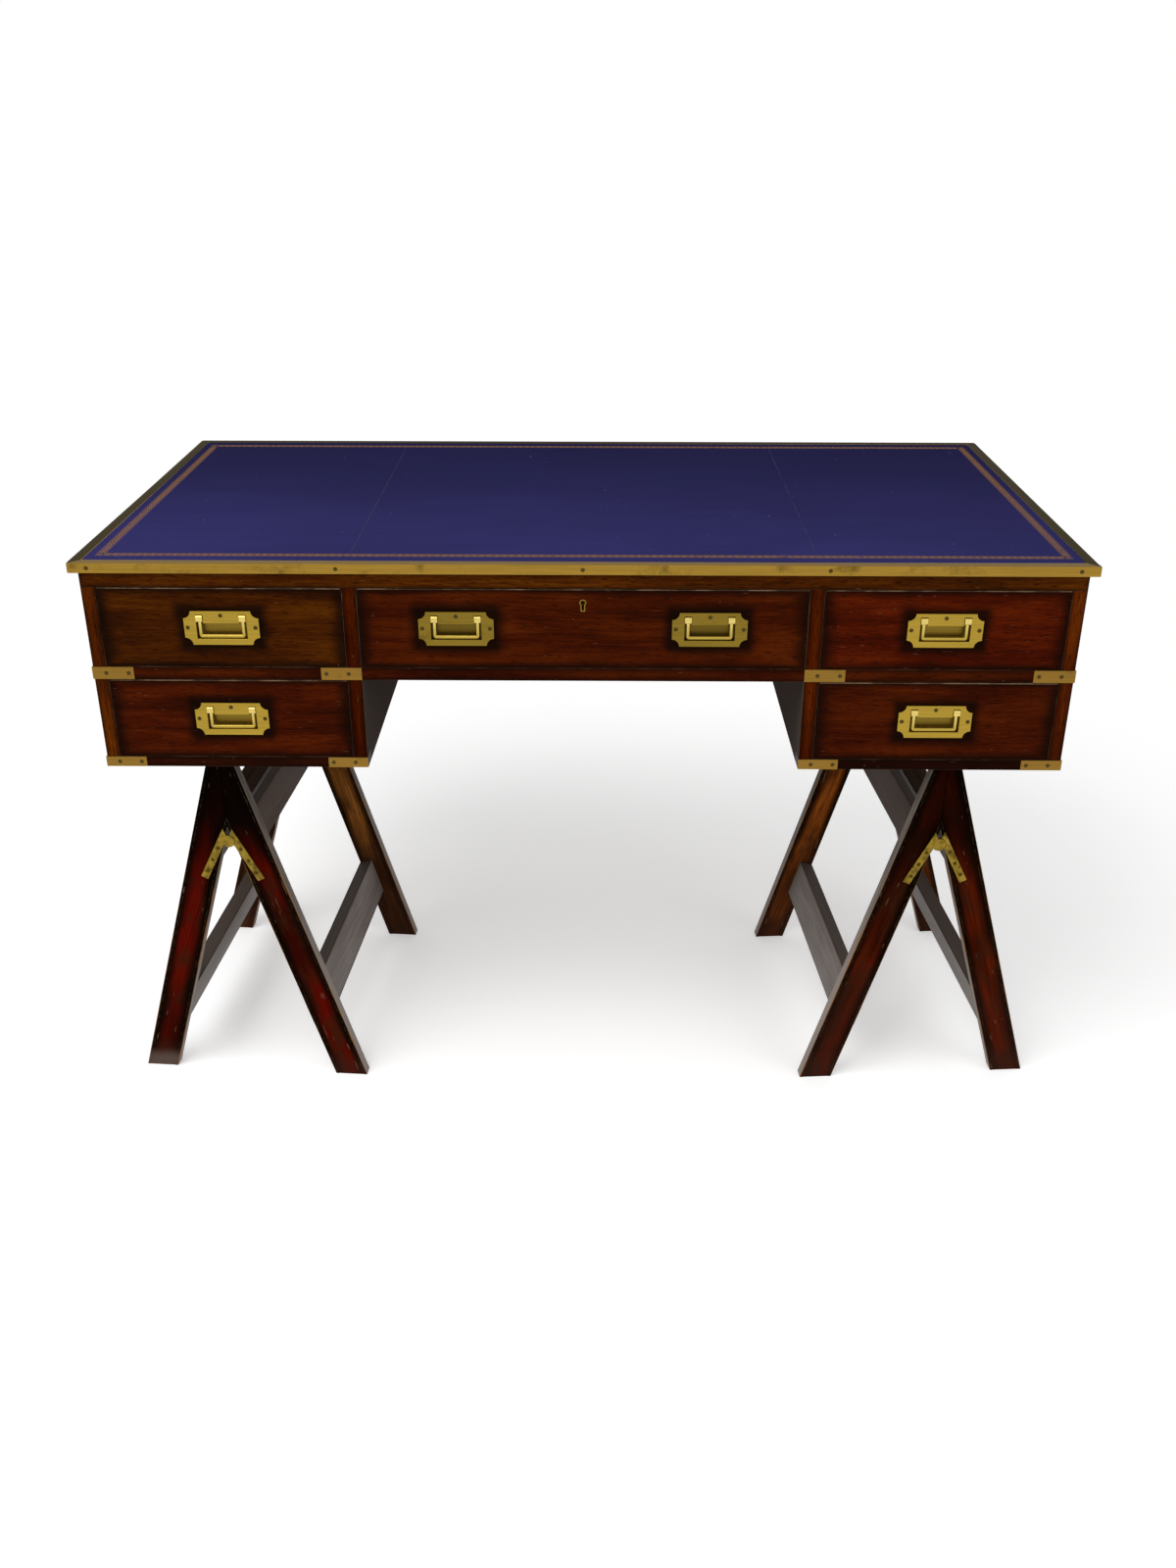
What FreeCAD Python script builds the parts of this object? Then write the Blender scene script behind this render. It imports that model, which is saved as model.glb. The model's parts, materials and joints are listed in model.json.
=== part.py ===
"""Campaign desk: a leather-topped case with five drawers on two folding trestles.

Millimetres, +X to the right, -Y towards the sitter, +Z up.
The origin lies on the floor under the middle of the top.
"""
import FreeCAD, Part
import os
import re
import math
import Sketcher

# ---------------------------------------------------------------- driving sizes
SIZES = [
    # overall
    ("desk_width", 1220.0),
    ("desk_depth", 645.0),
    ("case_setback", 9.0),
    # heights, from the floor up
    ("trestle_height", 493.0),
    ("bottom_rail_height", 14.5),
    ("lower_opening_height", 104.0),
    ("middle_rail_height", 17.0),
    ("upper_opening_height", 101.2),
    ("top_rail_height", 20.0),
    ("edging_height", 12.3),
    # top
    ("edging_width", 14.0),
    ("edging_thickness", 1.5),
    ("leather_thickness", 1.3),
    # case
    ("end_panel_thickness", 17.5),
    ("partition_thickness", 18.5),
    ("back_panel_thickness", 12.0),
    ("kneehole_width", 542.0),
    ("rail_depth", 25.0),
    ("top_rail_depth", 42.0),
    # corner straps
    ("strap_length", 50.0),
    ("strap_thickness", 1.2),
    ("strap_margin", 0.5),
    ("strap_screw_near", 16.0),
    ("strap_screw_far", 6.5),
    # screws
    ("screw_head_radius", 2.6),
    ("screw_head_height", 1.2),
    ("screw_shank_radius", 1.2),
    ("screw_length", 10.0),
    ("edging_screw_pitch", 292.0),
    ("edging_screw_inset", 23.0),
    ("side_screw_pitch", 270.0),
    # drawers
    ("drawer_gap", 0.8),
    ("drawer_running_gap", 0.3),
    ("drawer_back_gap", 1.0),
    ("drawer_front_thickness", 19.0),
    ("drawer_side_thickness", 9.0),
    ("drawer_bottom_thickness", 6.0),
    ("drawer_bottom_lift", 5.0),
    ("drawer_side_drop", 12.0),
    # handles
    ("handle_width", 91.0),
    ("handle_height", 43.0),
    ("handle_notch_radius", 9.0),
    ("handle_plate_thickness", 1.8),
    ("centre_handle_spread", 306.0),
    ("pan_width", 61.0),
    ("pan_top_margin", 4.8),
    ("pan_bottom_margin", 7.6),
    ("pan_depth", 9.0),
    ("pan_wall", 1.2),
    ("tongue_width", 43.6),
    ("tongue_drop", 15.5),
    ("plate_screw_side_inset", 4.6),
    ("plate_screw_top_inset", 5.6),
    ("plate_screw_drop", 21.0),
    ("pocket_clearance", 0.3),
    # bails
    ("bail_clearance", 0.3),
    ("bail_knuckle_radius", 4.4),
    ("bail_arm_width", 4.9),
    ("bail_arm_thickness", 3.6),
    ("bail_bar_height", 4.0),
    ("bail_pin_radius", 1.2),
    ("bail_proud", 2.3),
    ("bail_pin_end_gap", 0.2),
    ("pin_clearance", 0.05),
    # lock
    ("keyhole_radius", 2.7),
    ("keyhole_slot_width", 2.8),
    ("keyhole_height", 12.4),
    ("keyhole_drop", 17.2),
    ("escutcheon_wall", 1.5),
    ("escutcheon_proud", 0.6),
    ("escutcheon_depth", 6.0),
    ("lock_width", 62.0),
    ("lock_height", 42.0),
    ("lock_thickness", 11.0),
    ("lock_wall", 1.2),
    ("bolt_width", 18.0),
    ("bolt_thickness", 5.0),
    ("bolt_length", 24.0),
    ("bolt_travel", 7.0),
    ("bolt_clearance", 0.3),
    # trestles
    ("trestle_outset", 31.5),
    ("trestle_setback", 27.0),
    ("trestle_depth", 390.0),
    ("trestle_toe_in", 4.0),
    ("head_reach", 15.4),
    ("leg_lean", 16.4),
    ("leg_width", 43.3),
    ("leg_thickness", 16.0),
    ("meeting_gap", 0.3),
    ("rail_drop", 6.6),
    ("rail_width", 46.0),
    ("rail_thickness", 16.0),
    ("batten_thickness", 15.0),
    ("batten_step", 2.0),
    ("stretcher_height", 78.0),
    ("stretcher_width", 59.0),
    ("stretcher_thickness", 20.0),
    # trestle hinges
    ("pivot_drop", 18.945),
    ("leaf_angle", 27.0),
    ("leaf_thickness", 2.4),
    ("leaf_width", 10.5),
    ("leaf_offset", 14.0),
    ("leaf_tip", 14.0),
    ("leaf_length", 68.0),
    ("lug_radius", 9.0),
    ("lug_gap", 0.2),
    ("lug_clearance", 0.4),
    ("hinge_pin_radius", 2.5),
    ("hinge_pin_cap_radius", 4.2),
    ("hinge_pin_cap_height", 1.2),
    ("leaf_screw_start", 17.0),
    ("leaf_screw_pitch", 19.5),
]

# Places worked out from the driving sizes.
LAYOUT = {
    # heights
    "lower_floor": "trestle_height + bottom_rail_height",
    "lower_ceiling": "lower_floor + lower_opening_height",
    "upper_floor": "lower_ceiling + middle_rail_height",
    "upper_ceiling": "upper_floor + upper_opening_height",
    "case_top": "upper_ceiling + top_rail_height",
    "desk_top": "case_top + edging_height",
    # case faces
    "half_width": "desk_width / 2",
    "half_depth": "desk_depth / 2",
    "case_side": "half_width - case_setback",
    "case_front": "-half_depth + case_setback",
    "case_back": "half_depth - case_setback",
    "back_panel_front": "case_back - back_panel_thickness",
    "panel_inner": "case_side - end_panel_thickness",
    "knee_side": "kneehole_width / 2",
    "partition_outer": "knee_side + partition_thickness",
    "pedestal_centre": "(partition_outer + panel_inner) / 2",
    # top
    "panel_side": "half_width - edging_thickness",
    "panel_depth": "half_depth - edging_thickness",
    "leather_side": "half_width - edging_width",
    "leather_depth": "half_depth - edging_width",
    "panel_top": "desk_top - edging_thickness",
    # drawers
    "front_back": "case_front + drawer_front_thickness",
    "drawer_end": "back_panel_front - drawer_back_gap",
    # handles
    "plate_face": "case_front - handle_plate_thickness",
    "pan_back": "case_front + pan_depth",
    "pan_floor": "pan_back - pan_wall",
    "half_pan": "pan_width / 2",
    "half_tongue": "tongue_width / 2",
    "bail_axis": "plate_face - bail_proud + bail_knuckle_radius",
    "bail_drop": "pan_top_margin + bail_knuckle_radius + bail_clearance",
    # lock
    "bolt_front": "front_back + lock_wall + bolt_clearance",
    "lock_top": "upper_ceiling - drawer_gap",
    # trestle, in its own axes: x outward from the ridge, y back, z up
    "foot_outer": "head_reach + trestle_height * tan(leg_lean)",
    "foot_inner": "foot_outer - leg_width / cos(leg_lean)",
    "kink_height": "(foot_inner - meeting_gap) / tan(leg_lean)",
    "pivot_height": "kink_height - pivot_drop",
    "rail_bottom": "kink_height - rail_drop - rail_width * cos(leg_lean)",
    "trestle_front": "case_front + trestle_setback",
    "rear_leg_front": "trestle_depth - leg_thickness",
}

ALIASES = {alias for alias, value in SIZES}
MODEL = {"doc": None, "published": []}
NOUGHT = FreeCAD.Vector(0, 0, 0)
TURNS = {
    "x": FreeCAD.Rotation(FreeCAD.Vector(0, 1, 0), 90),
    "y": FreeCAD.Rotation(FreeCAD.Vector(1, 0, 0), -90),
    "z": FreeCAD.Rotation(FreeCAD.Vector(0, 0, 1), 0),
}


# ---------------------------------------------------------------- helpers
def formula(text):
    """Write a size or place out as an expression on the sheet's cells."""
    def spell(match):
        word = match.group(0)
        if word in ALIASES:
            return "sizes." + word
        if word in LAYOUT:
            return "(" + formula(LAYOUT[word]) + ")"
        return word
    return re.sub(r"[A-Za-z_]\w*", spell, text)


def bind(thing, prop, text):
    thing.setExpression(prop, formula(text))


def make(kind, name):
    return MODEL["doc"].addObject(kind, name)


def flip(side, span):
    """Mirror a span (near, far) to the left when side is -1."""
    near, far = span
    if side > 0:
        return near, far
    return "-(%s)" % far, "-(%s)" % near


def box(name, x, y, z):
    """A block from x[0] to x[1], y[0] to y[1], z[0] to z[1]."""
    block = make("Part::Box", name)
    for prop, place, span in (("Length", "x", x), ("Width", "y", y), ("Height", "z", z)):
        bind(block, prop, "(%s) - (%s)" % (span[1], span[0]))
        bind(block, "Placement.Base." + place, span[0])
    return block


def rod(name, axis, radius, start, length):
    """A round bar along axis from the point start."""
    bar = make("Part::Cylinder", name)
    bar.Placement = FreeCAD.Placement(NOUGHT, TURNS[axis])
    bind(bar, "Radius", radius)
    bind(bar, "Height", length)
    for place, text in zip("xyz", start):
        bind(bar, "Placement.Base." + place, text)
    return bar


def group(name, pieces):
    """Several separate solids kept as one sub-part."""
    bundle = make("Part::Compound", name)
    bundle.Links = pieces
    return bundle


def join(name, pieces):
    """One solid out of several that overlap."""
    fused = make("Part::MultiFuse", name)
    fused.Shapes = pieces
    return fused


def cut(name, blank, tools):
    """The blank less every tool."""
    result = make("Part::Cut", name)
    result.Base = blank
    result.Tool = tools[0] if len(tools) == 1 else group(name + "_tools", tools)
    return result


def profile(name, corners, start, depth, flat=False):
    """A straight-sided outline extruded by depth from start.

    It stands in the XZ plane and runs back along y, or lies flat in the XY plane and runs up.
    """
    body = make("PartDesign::Body", name)
    sketch = body.newObject("Sketcher::SketchObject", name + "_outline")
    role = "XY_Plane" if flat else "XZ_Plane"
    plane = [item for item in body.Origin.OriginFeatures if item.Role == role][0]
    sketch.AttachmentSupport = [(plane, "")]
    sketch.MapMode = "FlatFace"
    bind(sketch, "AttachmentOffset.Base.z", start if flat else "-(%s)" % start)
    count = len(corners)
    ring = []
    for step in range(count):
        angle = 2 * math.pi * step / count
        ring.append(FreeCAD.Vector(10 * math.cos(angle), 10 * math.sin(angle), 0))
    for step in range(count):
        sketch.addGeometry(Part.LineSegment(ring[step], ring[(step + 1) % count]))
    for step in range(count):
        sketch.addConstraint(Sketcher.Constraint("Coincident", step, 2, (step + 1) % count, 1))
    for step, corner in enumerate(corners):
        for kind, first, text in (("DistanceX", ring[step].x, corner[0]),
                                  ("DistanceY", ring[step].y, corner[1])):
            index = sketch.addConstraint(Sketcher.Constraint(kind, -1, 1, step, 1, first))
            bind(sketch, "Constraints[%d]" % index, text)
    pad = body.newObject("PartDesign::Pad", name + "_pad")
    pad.Profile = sketch
    pad.Reversed = not flat
    bind(pad, "Length", depth)
    return body


def publish(label, thing):
    """Name a finished sub-part; it is written out under this name."""
    thing.Label = label
    MODEL["published"].append((label, thing))
    return thing


def screw(name, axis, way, point):
    """A countersunk wood screw: point is on the head's outer face, way +1 or -1 along axis."""
    pieces = []
    for part, radius, length in (("head", "screw_head_radius", "screw_head_height"),
                                 ("shank", "screw_shank_radius", "screw_length")):
        start = list(point)
        if way < 0:
            place = "xyz".index(axis)
            start[place] = "(%s) - (%s)" % (point[place], length)
        pieces.append(rod(name + "_" + part, axis, radius, start, length))
    return pieces


# ---------------------------------------------------------------- the top
def edging_screws():
    """Screws through the edging's upright flange, at the middle of its height."""
    pieces = []
    height = "case_top + edging_height / 2"
    across = ["0", "edging_screw_pitch", "-edging_screw_pitch",
              "half_width - edging_screw_inset", "-(half_width - edging_screw_inset)"]
    for end, face, way in (("front", "-half_depth", 1), ("back", "half_depth", -1)):
        for count, x in enumerate(across):
            name = "edging_screw_%s_%d" % (end, count)
            pieces += screw(name, "y", way, (x, face, height))
    along = ["0", "side_screw_pitch", "-side_screw_pitch"]
    for end, face, way in (("left", "-half_width", 1), ("right", "half_width", -1)):
        for count, y in enumerate(along):
            name = "edging_screw_%s_%d" % (end, count)
            pieces += screw(name, "x", way, (face, y, height))
    return pieces


def mitre(name, side, end):
    """A wedge that takes the long strip off one corner, on the corner's diagonal."""
    reach = [("half_width + 1", "half_depth + 1"),
             ("half_width - edging_width - 1", "half_depth - edging_width - 1"),
             ("half_width + 1", "half_depth - edging_width - 1")]
    corners = [("(%d) * (%s)" % (side, x), "(%d) * (%s)" % (end, y)) for x, y in reach]
    return profile(name, corners, "case_top - 1", "edging_height + 2", flat=True)


def edging(screws):
    """Four lengths of angle brass, mitred at the corners of the top."""
    full_height = ("case_top", "desk_top")
    top_skin = ("panel_top", "desk_top")
    strips = []
    for name, end in (("front", -1), ("back", 1)):
        upright = box("edging_%s_upright" % name, ("-half_width", "half_width"),
                      flip(end, ("panel_depth", "half_depth")), full_height)
        flange = box("edging_%s_flange" % name, ("-half_width", "half_width"),
                     flip(end, ("leather_depth", "half_depth")), top_skin)
        angle = join("edging_%s_angle" % name, [upright, flange])
        wedges = [mitre("mitre_%s_%d" % (name, side + 1), side, end) for side in (-1, 1)]
        strips.append(cut("edging_" + name, angle, wedges))
    ends = list(strips)
    for name, side in (("left", -1), ("right", 1)):
        upright = box("edging_%s_upright" % name, flip(side, ("panel_side", "half_width")),
                      ("-half_depth", "half_depth"), full_height)
        flange = box("edging_%s_flange" % name, flip(side, ("leather_side", "half_width")),
                     ("-half_depth", "half_depth"), top_skin)
        angle = join("edging_%s_angle" % name, [upright, flange])
        strips.append(cut("edging_" + name, angle, ends))
    return cut("edging_bored", group("edging_strips", strips), [screws])


def build_top():
    screws = join("edging_screws", edging_screws())
    blank = box("desktop_blank", ("-panel_side", "panel_side"), ("-panel_depth", "panel_depth"),
                ("case_top", "panel_top"))
    publish("desktop_panel", cut("desktop_bored", blank, [screws]))
    publish("brass_edging", edging(screws))
    publish("leather_writing_surface",
            box("leather", ("-leather_side", "leather_side"), ("-leather_depth", "leather_depth"),
                ("panel_top", "panel_top + leather_thickness")))
    return screws


# ---------------------------------------------------------------- the case
BOLT_ROOM_X = ("-bolt_width / 2 - bolt_clearance", "bolt_width / 2 + bolt_clearance")
BOLT_ROOM_Y = ("bolt_front - bolt_clearance", "bolt_front + bolt_thickness + bolt_clearance")


def strap_leaves():
    """Brass straps: flat on the rail fronts, and wrapped round the case's outer corners."""
    rows = (("middle", "lower_ceiling", "upper_floor"), ("bottom", "trestle_height", "lower_floor"))
    leaves = []
    screws = []
    for row, low, high in rows:
        z = (low + " + strap_margin", high + " - strap_margin")
        middle = "(%s + %s) / 2" % (low, high)
        for side in (-1, 1):
            tag = "%s_%s" % (row, "left" if side < 0 else "right")
            front = box("strap_outer_" + tag,
                        flip(side, ("case_side - strap_length", "case_side + strap_thickness")),
                        ("case_front - strap_thickness", "case_front"), z)
            flank = box("strap_side_" + tag,
                        flip(side, ("case_side", "case_side + strap_thickness")),
                        ("case_front - strap_thickness", "case_front + strap_length"), z)
            leaves.append(join("strap_corner_" + tag, [front, flank]))
            leaves.append(box("strap_inner_" + tag,
                              flip(side, ("knee_side", "knee_side + strap_length")),
                              ("case_front - strap_thickness", "case_front"), z))
            across = ("case_side - strap_screw_near",
                      "case_side - strap_length + strap_screw_far",
                      "knee_side + strap_screw_near",
                      "knee_side + strap_length - strap_screw_far")
            for count, x in enumerate(across):
                point = ("(%d) * (%s)" % (side, x), "case_front - strap_thickness", middle)
                screws += screw("strap_screw_%s_%d" % (tag, count), "y", 1, point)
            back = ("case_front + strap_screw_near",
                    "case_front + strap_length - strap_screw_far")
            for count, y in enumerate(back):
                point = ("(%d) * (case_side + strap_thickness)" % side, y, middle)
                screws += screw("strap_side_screw_%s_%d" % (tag, count), "x", -side, point)
    return group("strap_blanks", leaves), join("strap_screws", screws)


def build_case(edging_screw_group):
    straps, screws = strap_leaves()
    publish("brass_corner_straps", cut("straps_bored", straps, [screws]))
    publish("case_screws", group("case_screw_group", [screws, edging_screw_group]))

    full = ("-case_side", "case_side")
    top_blank = box("top_rail_blank", full, ("case_front", "case_front + top_rail_depth"),
                    ("upper_ceiling", "case_top"))
    bolt_pocket = box("bolt_pocket", BOLT_ROOM_X, BOLT_ROOM_Y,
                      ("upper_ceiling", "upper_ceiling + bolt_travel + bolt_clearance"))
    top_rail = publish("top_rail", cut("top_rail_cut", top_blank, [bolt_pocket]))
    rail_y = ("case_front", "case_front + rail_depth")
    middle_blank = box("middle_rail_blank", full, rail_y, ("lower_ceiling", "upper_floor"))
    middle_rail = publish("middle_rail", cut("middle_rail_bored", middle_blank, [screws]))
    bottom_blanks = []
    for side, name in ((-1, "left"), (1, "right")):
        bottom_blanks.append(box(name + "_bottom_rail", flip(side, ("knee_side", "case_side")),
                                 rail_y, ("trestle_height", "lower_floor")))
    bottom_rails = publish("bottom_rails", cut("bottom_rails_bored",
                                               group("bottom_rail_pair", bottom_blanks), [screws]))
    rails = [top_rail, middle_rail, bottom_rails]

    tall = ("trestle_height", "case_top")
    for side, name in ((-1, "left"), (1, "right")):
        blank = box(name + "_end_blank", flip(side, ("panel_inner", "case_side")),
                    ("case_front", "case_back"), tall)
        publish(name + "_end_panel", cut(name + "_end_cut", blank, rails + [screws]))
        blank = box(name + "_partition_blank", flip(side, ("knee_side", "partition_outer")),
                    ("case_front", "back_panel_front"), tall)
        publish(name + "_partition", cut(name + "_partition_cut", blank, rails + [screws]))

    board_y = ("case_front + rail_depth", "back_panel_front")
    middle_boards = [box("knee_board", ("-knee_side", "knee_side"), board_y,
                         ("lower_ceiling", "upper_floor"))]
    bottom_boards = []
    for side, name in ((-1, "left"), (1, "right")):
        bay = flip(side, ("partition_outer", "panel_inner"))
        middle_boards.append(box(name + "_middle_board", bay, board_y,
                                 ("lower_ceiling", "upper_floor")))
        bottom_boards.append(box(name + "_bottom_board", bay, board_y,
                                 ("trestle_height", "lower_floor")))
    publish("middle_boards", group("middle_board_set", middle_boards))
    publish("bottom_boards", group("bottom_board_pair", bottom_boards))

    back_blank = box("back_blank", ("-panel_inner", "panel_inner"),
                     ("back_panel_front", "case_back"), tall)
    knee_cut = box("knee_cut", ("-knee_side", "knee_side"),
                   ("back_panel_front - 1", "case_back + 1"),
                   ("trestle_height - 1", "lower_ceiling"))
    publish("back_panel", cut("back_cut", back_blank, [knee_cut]))


# ---------------------------------------------------------------- handles
def pan_blocks(name, centre, top, grow, y):
    """The recess behind a handle: a wide lower well and two pockets for the bail's knuckles."""
    well_z = ("%s - handle_height + pan_bottom_margin - (%s)" % (top, grow),
              "%s - tongue_drop + (%s)" % (top, grow))
    pocket_z = ("%s - handle_height + pan_bottom_margin - (%s)" % (top, grow),
                "%s - pan_top_margin + (%s)" % (top, grow))
    blocks = [box(name + "_well", ("%s - half_pan - (%s)" % (centre, grow),
                                   "%s + half_pan + (%s)" % (centre, grow)), y, well_z)]
    for side in (-1, 1):
        near, far = flip(side, ("half_tongue - (%s)" % grow, "half_pan + (%s)" % grow))
        blocks.append(box("%s_pocket_%d" % (name, side + 1),
                          ("%s + %s" % (centre, near), "%s + %s" % (centre, far)), y, pocket_z))
    return blocks


def handle_screws(name, centre, top):
    face = "plate_face"
    middle = "%s - plate_screw_drop" % top
    reach = "(handle_width / 2 - plate_screw_side_inset)"
    places = ((centre, "%s - plate_screw_top_inset" % top),
              ("%s - %s" % (centre, reach), middle), ("%s + %s" % (centre, reach), middle))
    pieces = []
    for count, (x, z) in enumerate(places):
        pieces += screw("%s_screw_%d" % (name, count), "y", 1, (x, face, z))
    return pieces


def handle_plate(name, centre, top, screws):
    """The brass plate with its notched corners, and the pan let into the drawer front."""
    low = "%s - handle_height" % top
    half = "handle_width / 2"
    plate = box(name + "_face", ("%s - %s" % (centre, half), "%s + %s" % (centre, half)),
                ("plate_face", "case_front"), (low, top))
    shell = pan_blocks(name + "_shell", centre, top, "pan_wall", ("plate_face", "pan_back"))
    body = join(name + "_body", [plate] + shell)
    tools = pan_blocks(name + "_hollow", centre, top, "0", ("plate_face - 1", "pan_floor"))
    for side in (-1, 1):
        for end, z in ((0, low), (1, top)):
            x = "%s + (%d) * %s" % (centre, side, half)
            tools.append(rod("%s_notch_%d_%d" % (name, side + 1, end), "y", "handle_notch_radius",
                             (x, "plate_face - 1", z), "handle_plate_thickness + 1"))
        near, far = flip(side, ("half_pan", "half_pan + pan_wall"))
        tools.append(rod("%s_pin_hole_%d" % (name, side + 1), "x", "bail_pin_radius + pin_clearance",
                         ("%s + %s" % (centre, near), "bail_axis", "%s - bail_drop" % top),
                         "pan_wall"))
    return cut(name, body, tools + [screws])


def bail(name, centre, top):
    """The drop handle: two knuckles on one axis, two arms and the bar that the hand takes."""
    axis_z = "%s - bail_drop" % top
    low = "%s - handle_height + pan_bottom_margin + bail_clearance" % top
    arm_y = ("bail_axis - bail_arm_thickness / 2", "bail_axis + bail_arm_thickness / 2")
    pieces = [box(name + "_bar", ("%s - half_pan + bail_clearance" % centre,
                                  "%s + half_pan - bail_clearance" % centre),
                  arm_y, (low, low + " + bail_bar_height"))]
    for side in (-1, 1):
        tag = "%s_%d" % (name, side + 1)
        near, far = flip(side, ("half_pan - bail_clearance - bail_arm_width",
                                "half_pan - bail_clearance"))
        pieces.append(box(tag + "_arm", ("%s + %s" % (centre, near), "%s + %s" % (centre, far)),
                          arm_y, (low, axis_z)))
        near, far = flip(side, ("half_tongue + bail_clearance", "half_pan - bail_clearance"))
        pieces.append(rod(tag + "_knuckle", "x", "bail_knuckle_radius",
                          ("%s + %s" % (centre, near), "bail_axis", axis_z),
                          "half_pan - half_tongue - 2 * bail_clearance"))
        near, far = flip(side, ("half_pan - bail_arm_width", "half_pan + pan_wall - bail_pin_end_gap"))
        pieces.append(rod(tag + "_pin", "x", "bail_pin_radius",
                          ("%s + %s" % (centre, near), "bail_axis", axis_z),
                          "(%s) - (%s)" % (far, near)))
    return join(name, pieces)


# ---------------------------------------------------------------- drawers
def drawer_box(name, x, floor, ceiling):
    """Two sides and a back, with the bottom let in between them."""
    left, right = x
    low = floor + " + drawer_running_gap"
    high = ceiling + " - drawer_side_drop"
    lap = "drawer_side_thickness"
    run = ("front_back", "drawer_end")
    pieces = [box(name + "_left_side", (left, "%s + %s" % (left, lap)), run, (low, high)),
              box(name + "_right_side", ("%s - %s" % (right, lap), right), run, (low, high))]
    inner = ("%s + %s" % (left, lap), "%s - %s" % (right, lap))
    pieces.append(box(name + "_back", inner, ("drawer_end - " + lap, "drawer_end"), (low, high)))
    pieces.append(box(name + "_bottom", inner, ("front_back", "drawer_end - " + lap),
                      (low + " + drawer_bottom_lift",
                       low + " + drawer_bottom_lift + drawer_bottom_thickness")))
    return group(name, pieces)


def build_drawer(name, bay, floor, ceiling, centres, extra_cuts):
    """A drawer filling the bay, with a recessed handle at each of the centres."""
    x = ("%s + drawer_gap" % bay[0], "%s - drawer_gap" % bay[1])
    top = "(%s + %s + handle_height) / 2" % (floor, ceiling)
    blank = box(name + "_front_blank", x, ("case_front", "front_back"),
                (floor + " + drawer_running_gap", ceiling + " - drawer_gap"))
    tools = list(extra_cuts)
    plates = []
    screw_rods = []
    for count, centre in enumerate(centres):
        screw_rods += handle_screws("%s_plate_%d" % (name, count), centre, top)
    screws = join(name + "_screw_set", screw_rods)
    for count, centre in enumerate(centres):
        tag = "%s_plate_%d" % (name, count)
        plates.append(handle_plate(tag, centre, top, screws))
        tools += pan_blocks(tag + "_pocket", centre, top, "pan_wall + pocket_clearance",
                            ("case_front - 1", "pan_back + pocket_clearance"))
    publish(name + "_front", cut(name + "_front_cut", blank, tools + [screws]))
    publish(name + "_box", drawer_box(name + "_carcase", x, floor, ceiling))
    if len(plates) == 1:
        publish(name + "_handle_plate", plates[0])
        publish(name + "_bail", bail(name + "_drop", centres[0], top))
    else:
        publish(name + "_handle_plates", group(name + "_plate_pair", plates))
        for centre, hand in zip(centres, ("left", "right")):
            publish("%s_%s_bail" % (name, hand), bail("%s_drop_%s" % (name, hand), centre, top))
    publish(name + "_handle_screws", screws)


def keyhole(name, grow, y):
    """A round eye over a straight slot, grown by the given margin."""
    head = "upper_ceiling - keyhole_drop"
    eye = rod(name + "_eye", "y", "keyhole_radius + (%s)" % grow,
              ("0", y[0], head), "(%s) - (%s)" % (y[1], y[0]))
    slot = box(name + "_slot", ("-keyhole_slot_width / 2 - (%s)" % grow,
                                "keyhole_slot_width / 2 + (%s)" % grow), y,
               ("%s - keyhole_height + keyhole_radius - (%s)" % (head, grow), head))
    return join(name, [eye, slot])


def build_lock():
    """The escutcheon in the drawer front, and the lock behind it with its rising bolt."""
    through = ("case_front - escutcheon_proud - 1", "front_back + 1")
    hole = keyhole("keyhole_through", "0", through)
    rim = keyhole("escutcheon_blank", "escutcheon_wall",
                  ("case_front - escutcheon_proud", "case_front + escutcheon_depth"))
    escutcheon = publish("keyhole_escutcheon", cut("escutcheon_cut", rim, [hole]))

    case = box("lock_blank", ("-lock_width / 2", "lock_width / 2"),
               ("front_back", "front_back + lock_thickness"), ("lock_top - lock_height", "lock_top"))
    channel = box("bolt_channel", BOLT_ROOM_X, BOLT_ROOM_Y,
                  ("lock_top - bolt_length - bolt_clearance", "lock_top + 1"))
    publish("lock_body", cut("lock_cut", case, [channel]))
    publish("lock_bolt", box("bolt", ("-bolt_width / 2", "bolt_width / 2"),
                             ("bolt_front", "bolt_front + bolt_thickness"),
                             ("lock_top - bolt_length", "lock_top")))
    return [escutcheon, hole]


def build_drawers():
    lock_cuts = build_lock()
    build_drawer("centre_drawer", ("-knee_side", "knee_side"), "upper_floor", "upper_ceiling",
                 ("-centre_handle_spread / 2", "centre_handle_spread / 2"), lock_cuts)
    rows = (("upper", "upper_floor", "upper_ceiling"), ("lower", "lower_floor", "lower_ceiling"))
    for side, hand in ((-1, "left"), (1, "right")):
        bay = flip(side, ("partition_outer", "panel_inner"))
        centre = "(%d) * pedestal_centre" % side
        for row, floor, ceiling in rows:
            build_drawer("%s_%s_drawer" % (hand, row), bay, floor, ceiling, (centre,), [])


# ---------------------------------------------------------------- trestles
def stand(side, thing):
    """Set a trestle piece, drawn in the trestle's own axes, at its place under the case."""
    thing.Placement = FreeCAD.Placement(NOUGHT, FreeCAD.Rotation(FreeCAD.Vector(0, 0, side), 1))
    bind(thing, "Placement.Base.x", "(%d) * (pedestal_centre + trestle_outset)" % side)
    bind(thing, "Placement.Base.y", "trestle_front")
    bind(thing, "Placement.Rotation.Angle", "trestle_toe_in")
    return thing


def outward(hand, x):
    return "(%d) * (%s)" % (hand, x)


def leg(name, hand, start):
    """A raked leg: its inner edge turns upright where the two frames meet."""
    corners = (("foot_outer", "0"), ("foot_inner", "0"), ("meeting_gap", "kink_height"),
               ("meeting_gap", "trestle_height"), ("head_reach", "trestle_height"))
    return profile(name, [(outward(hand, x), z) for x, z in corners], start, "leg_thickness")


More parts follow.
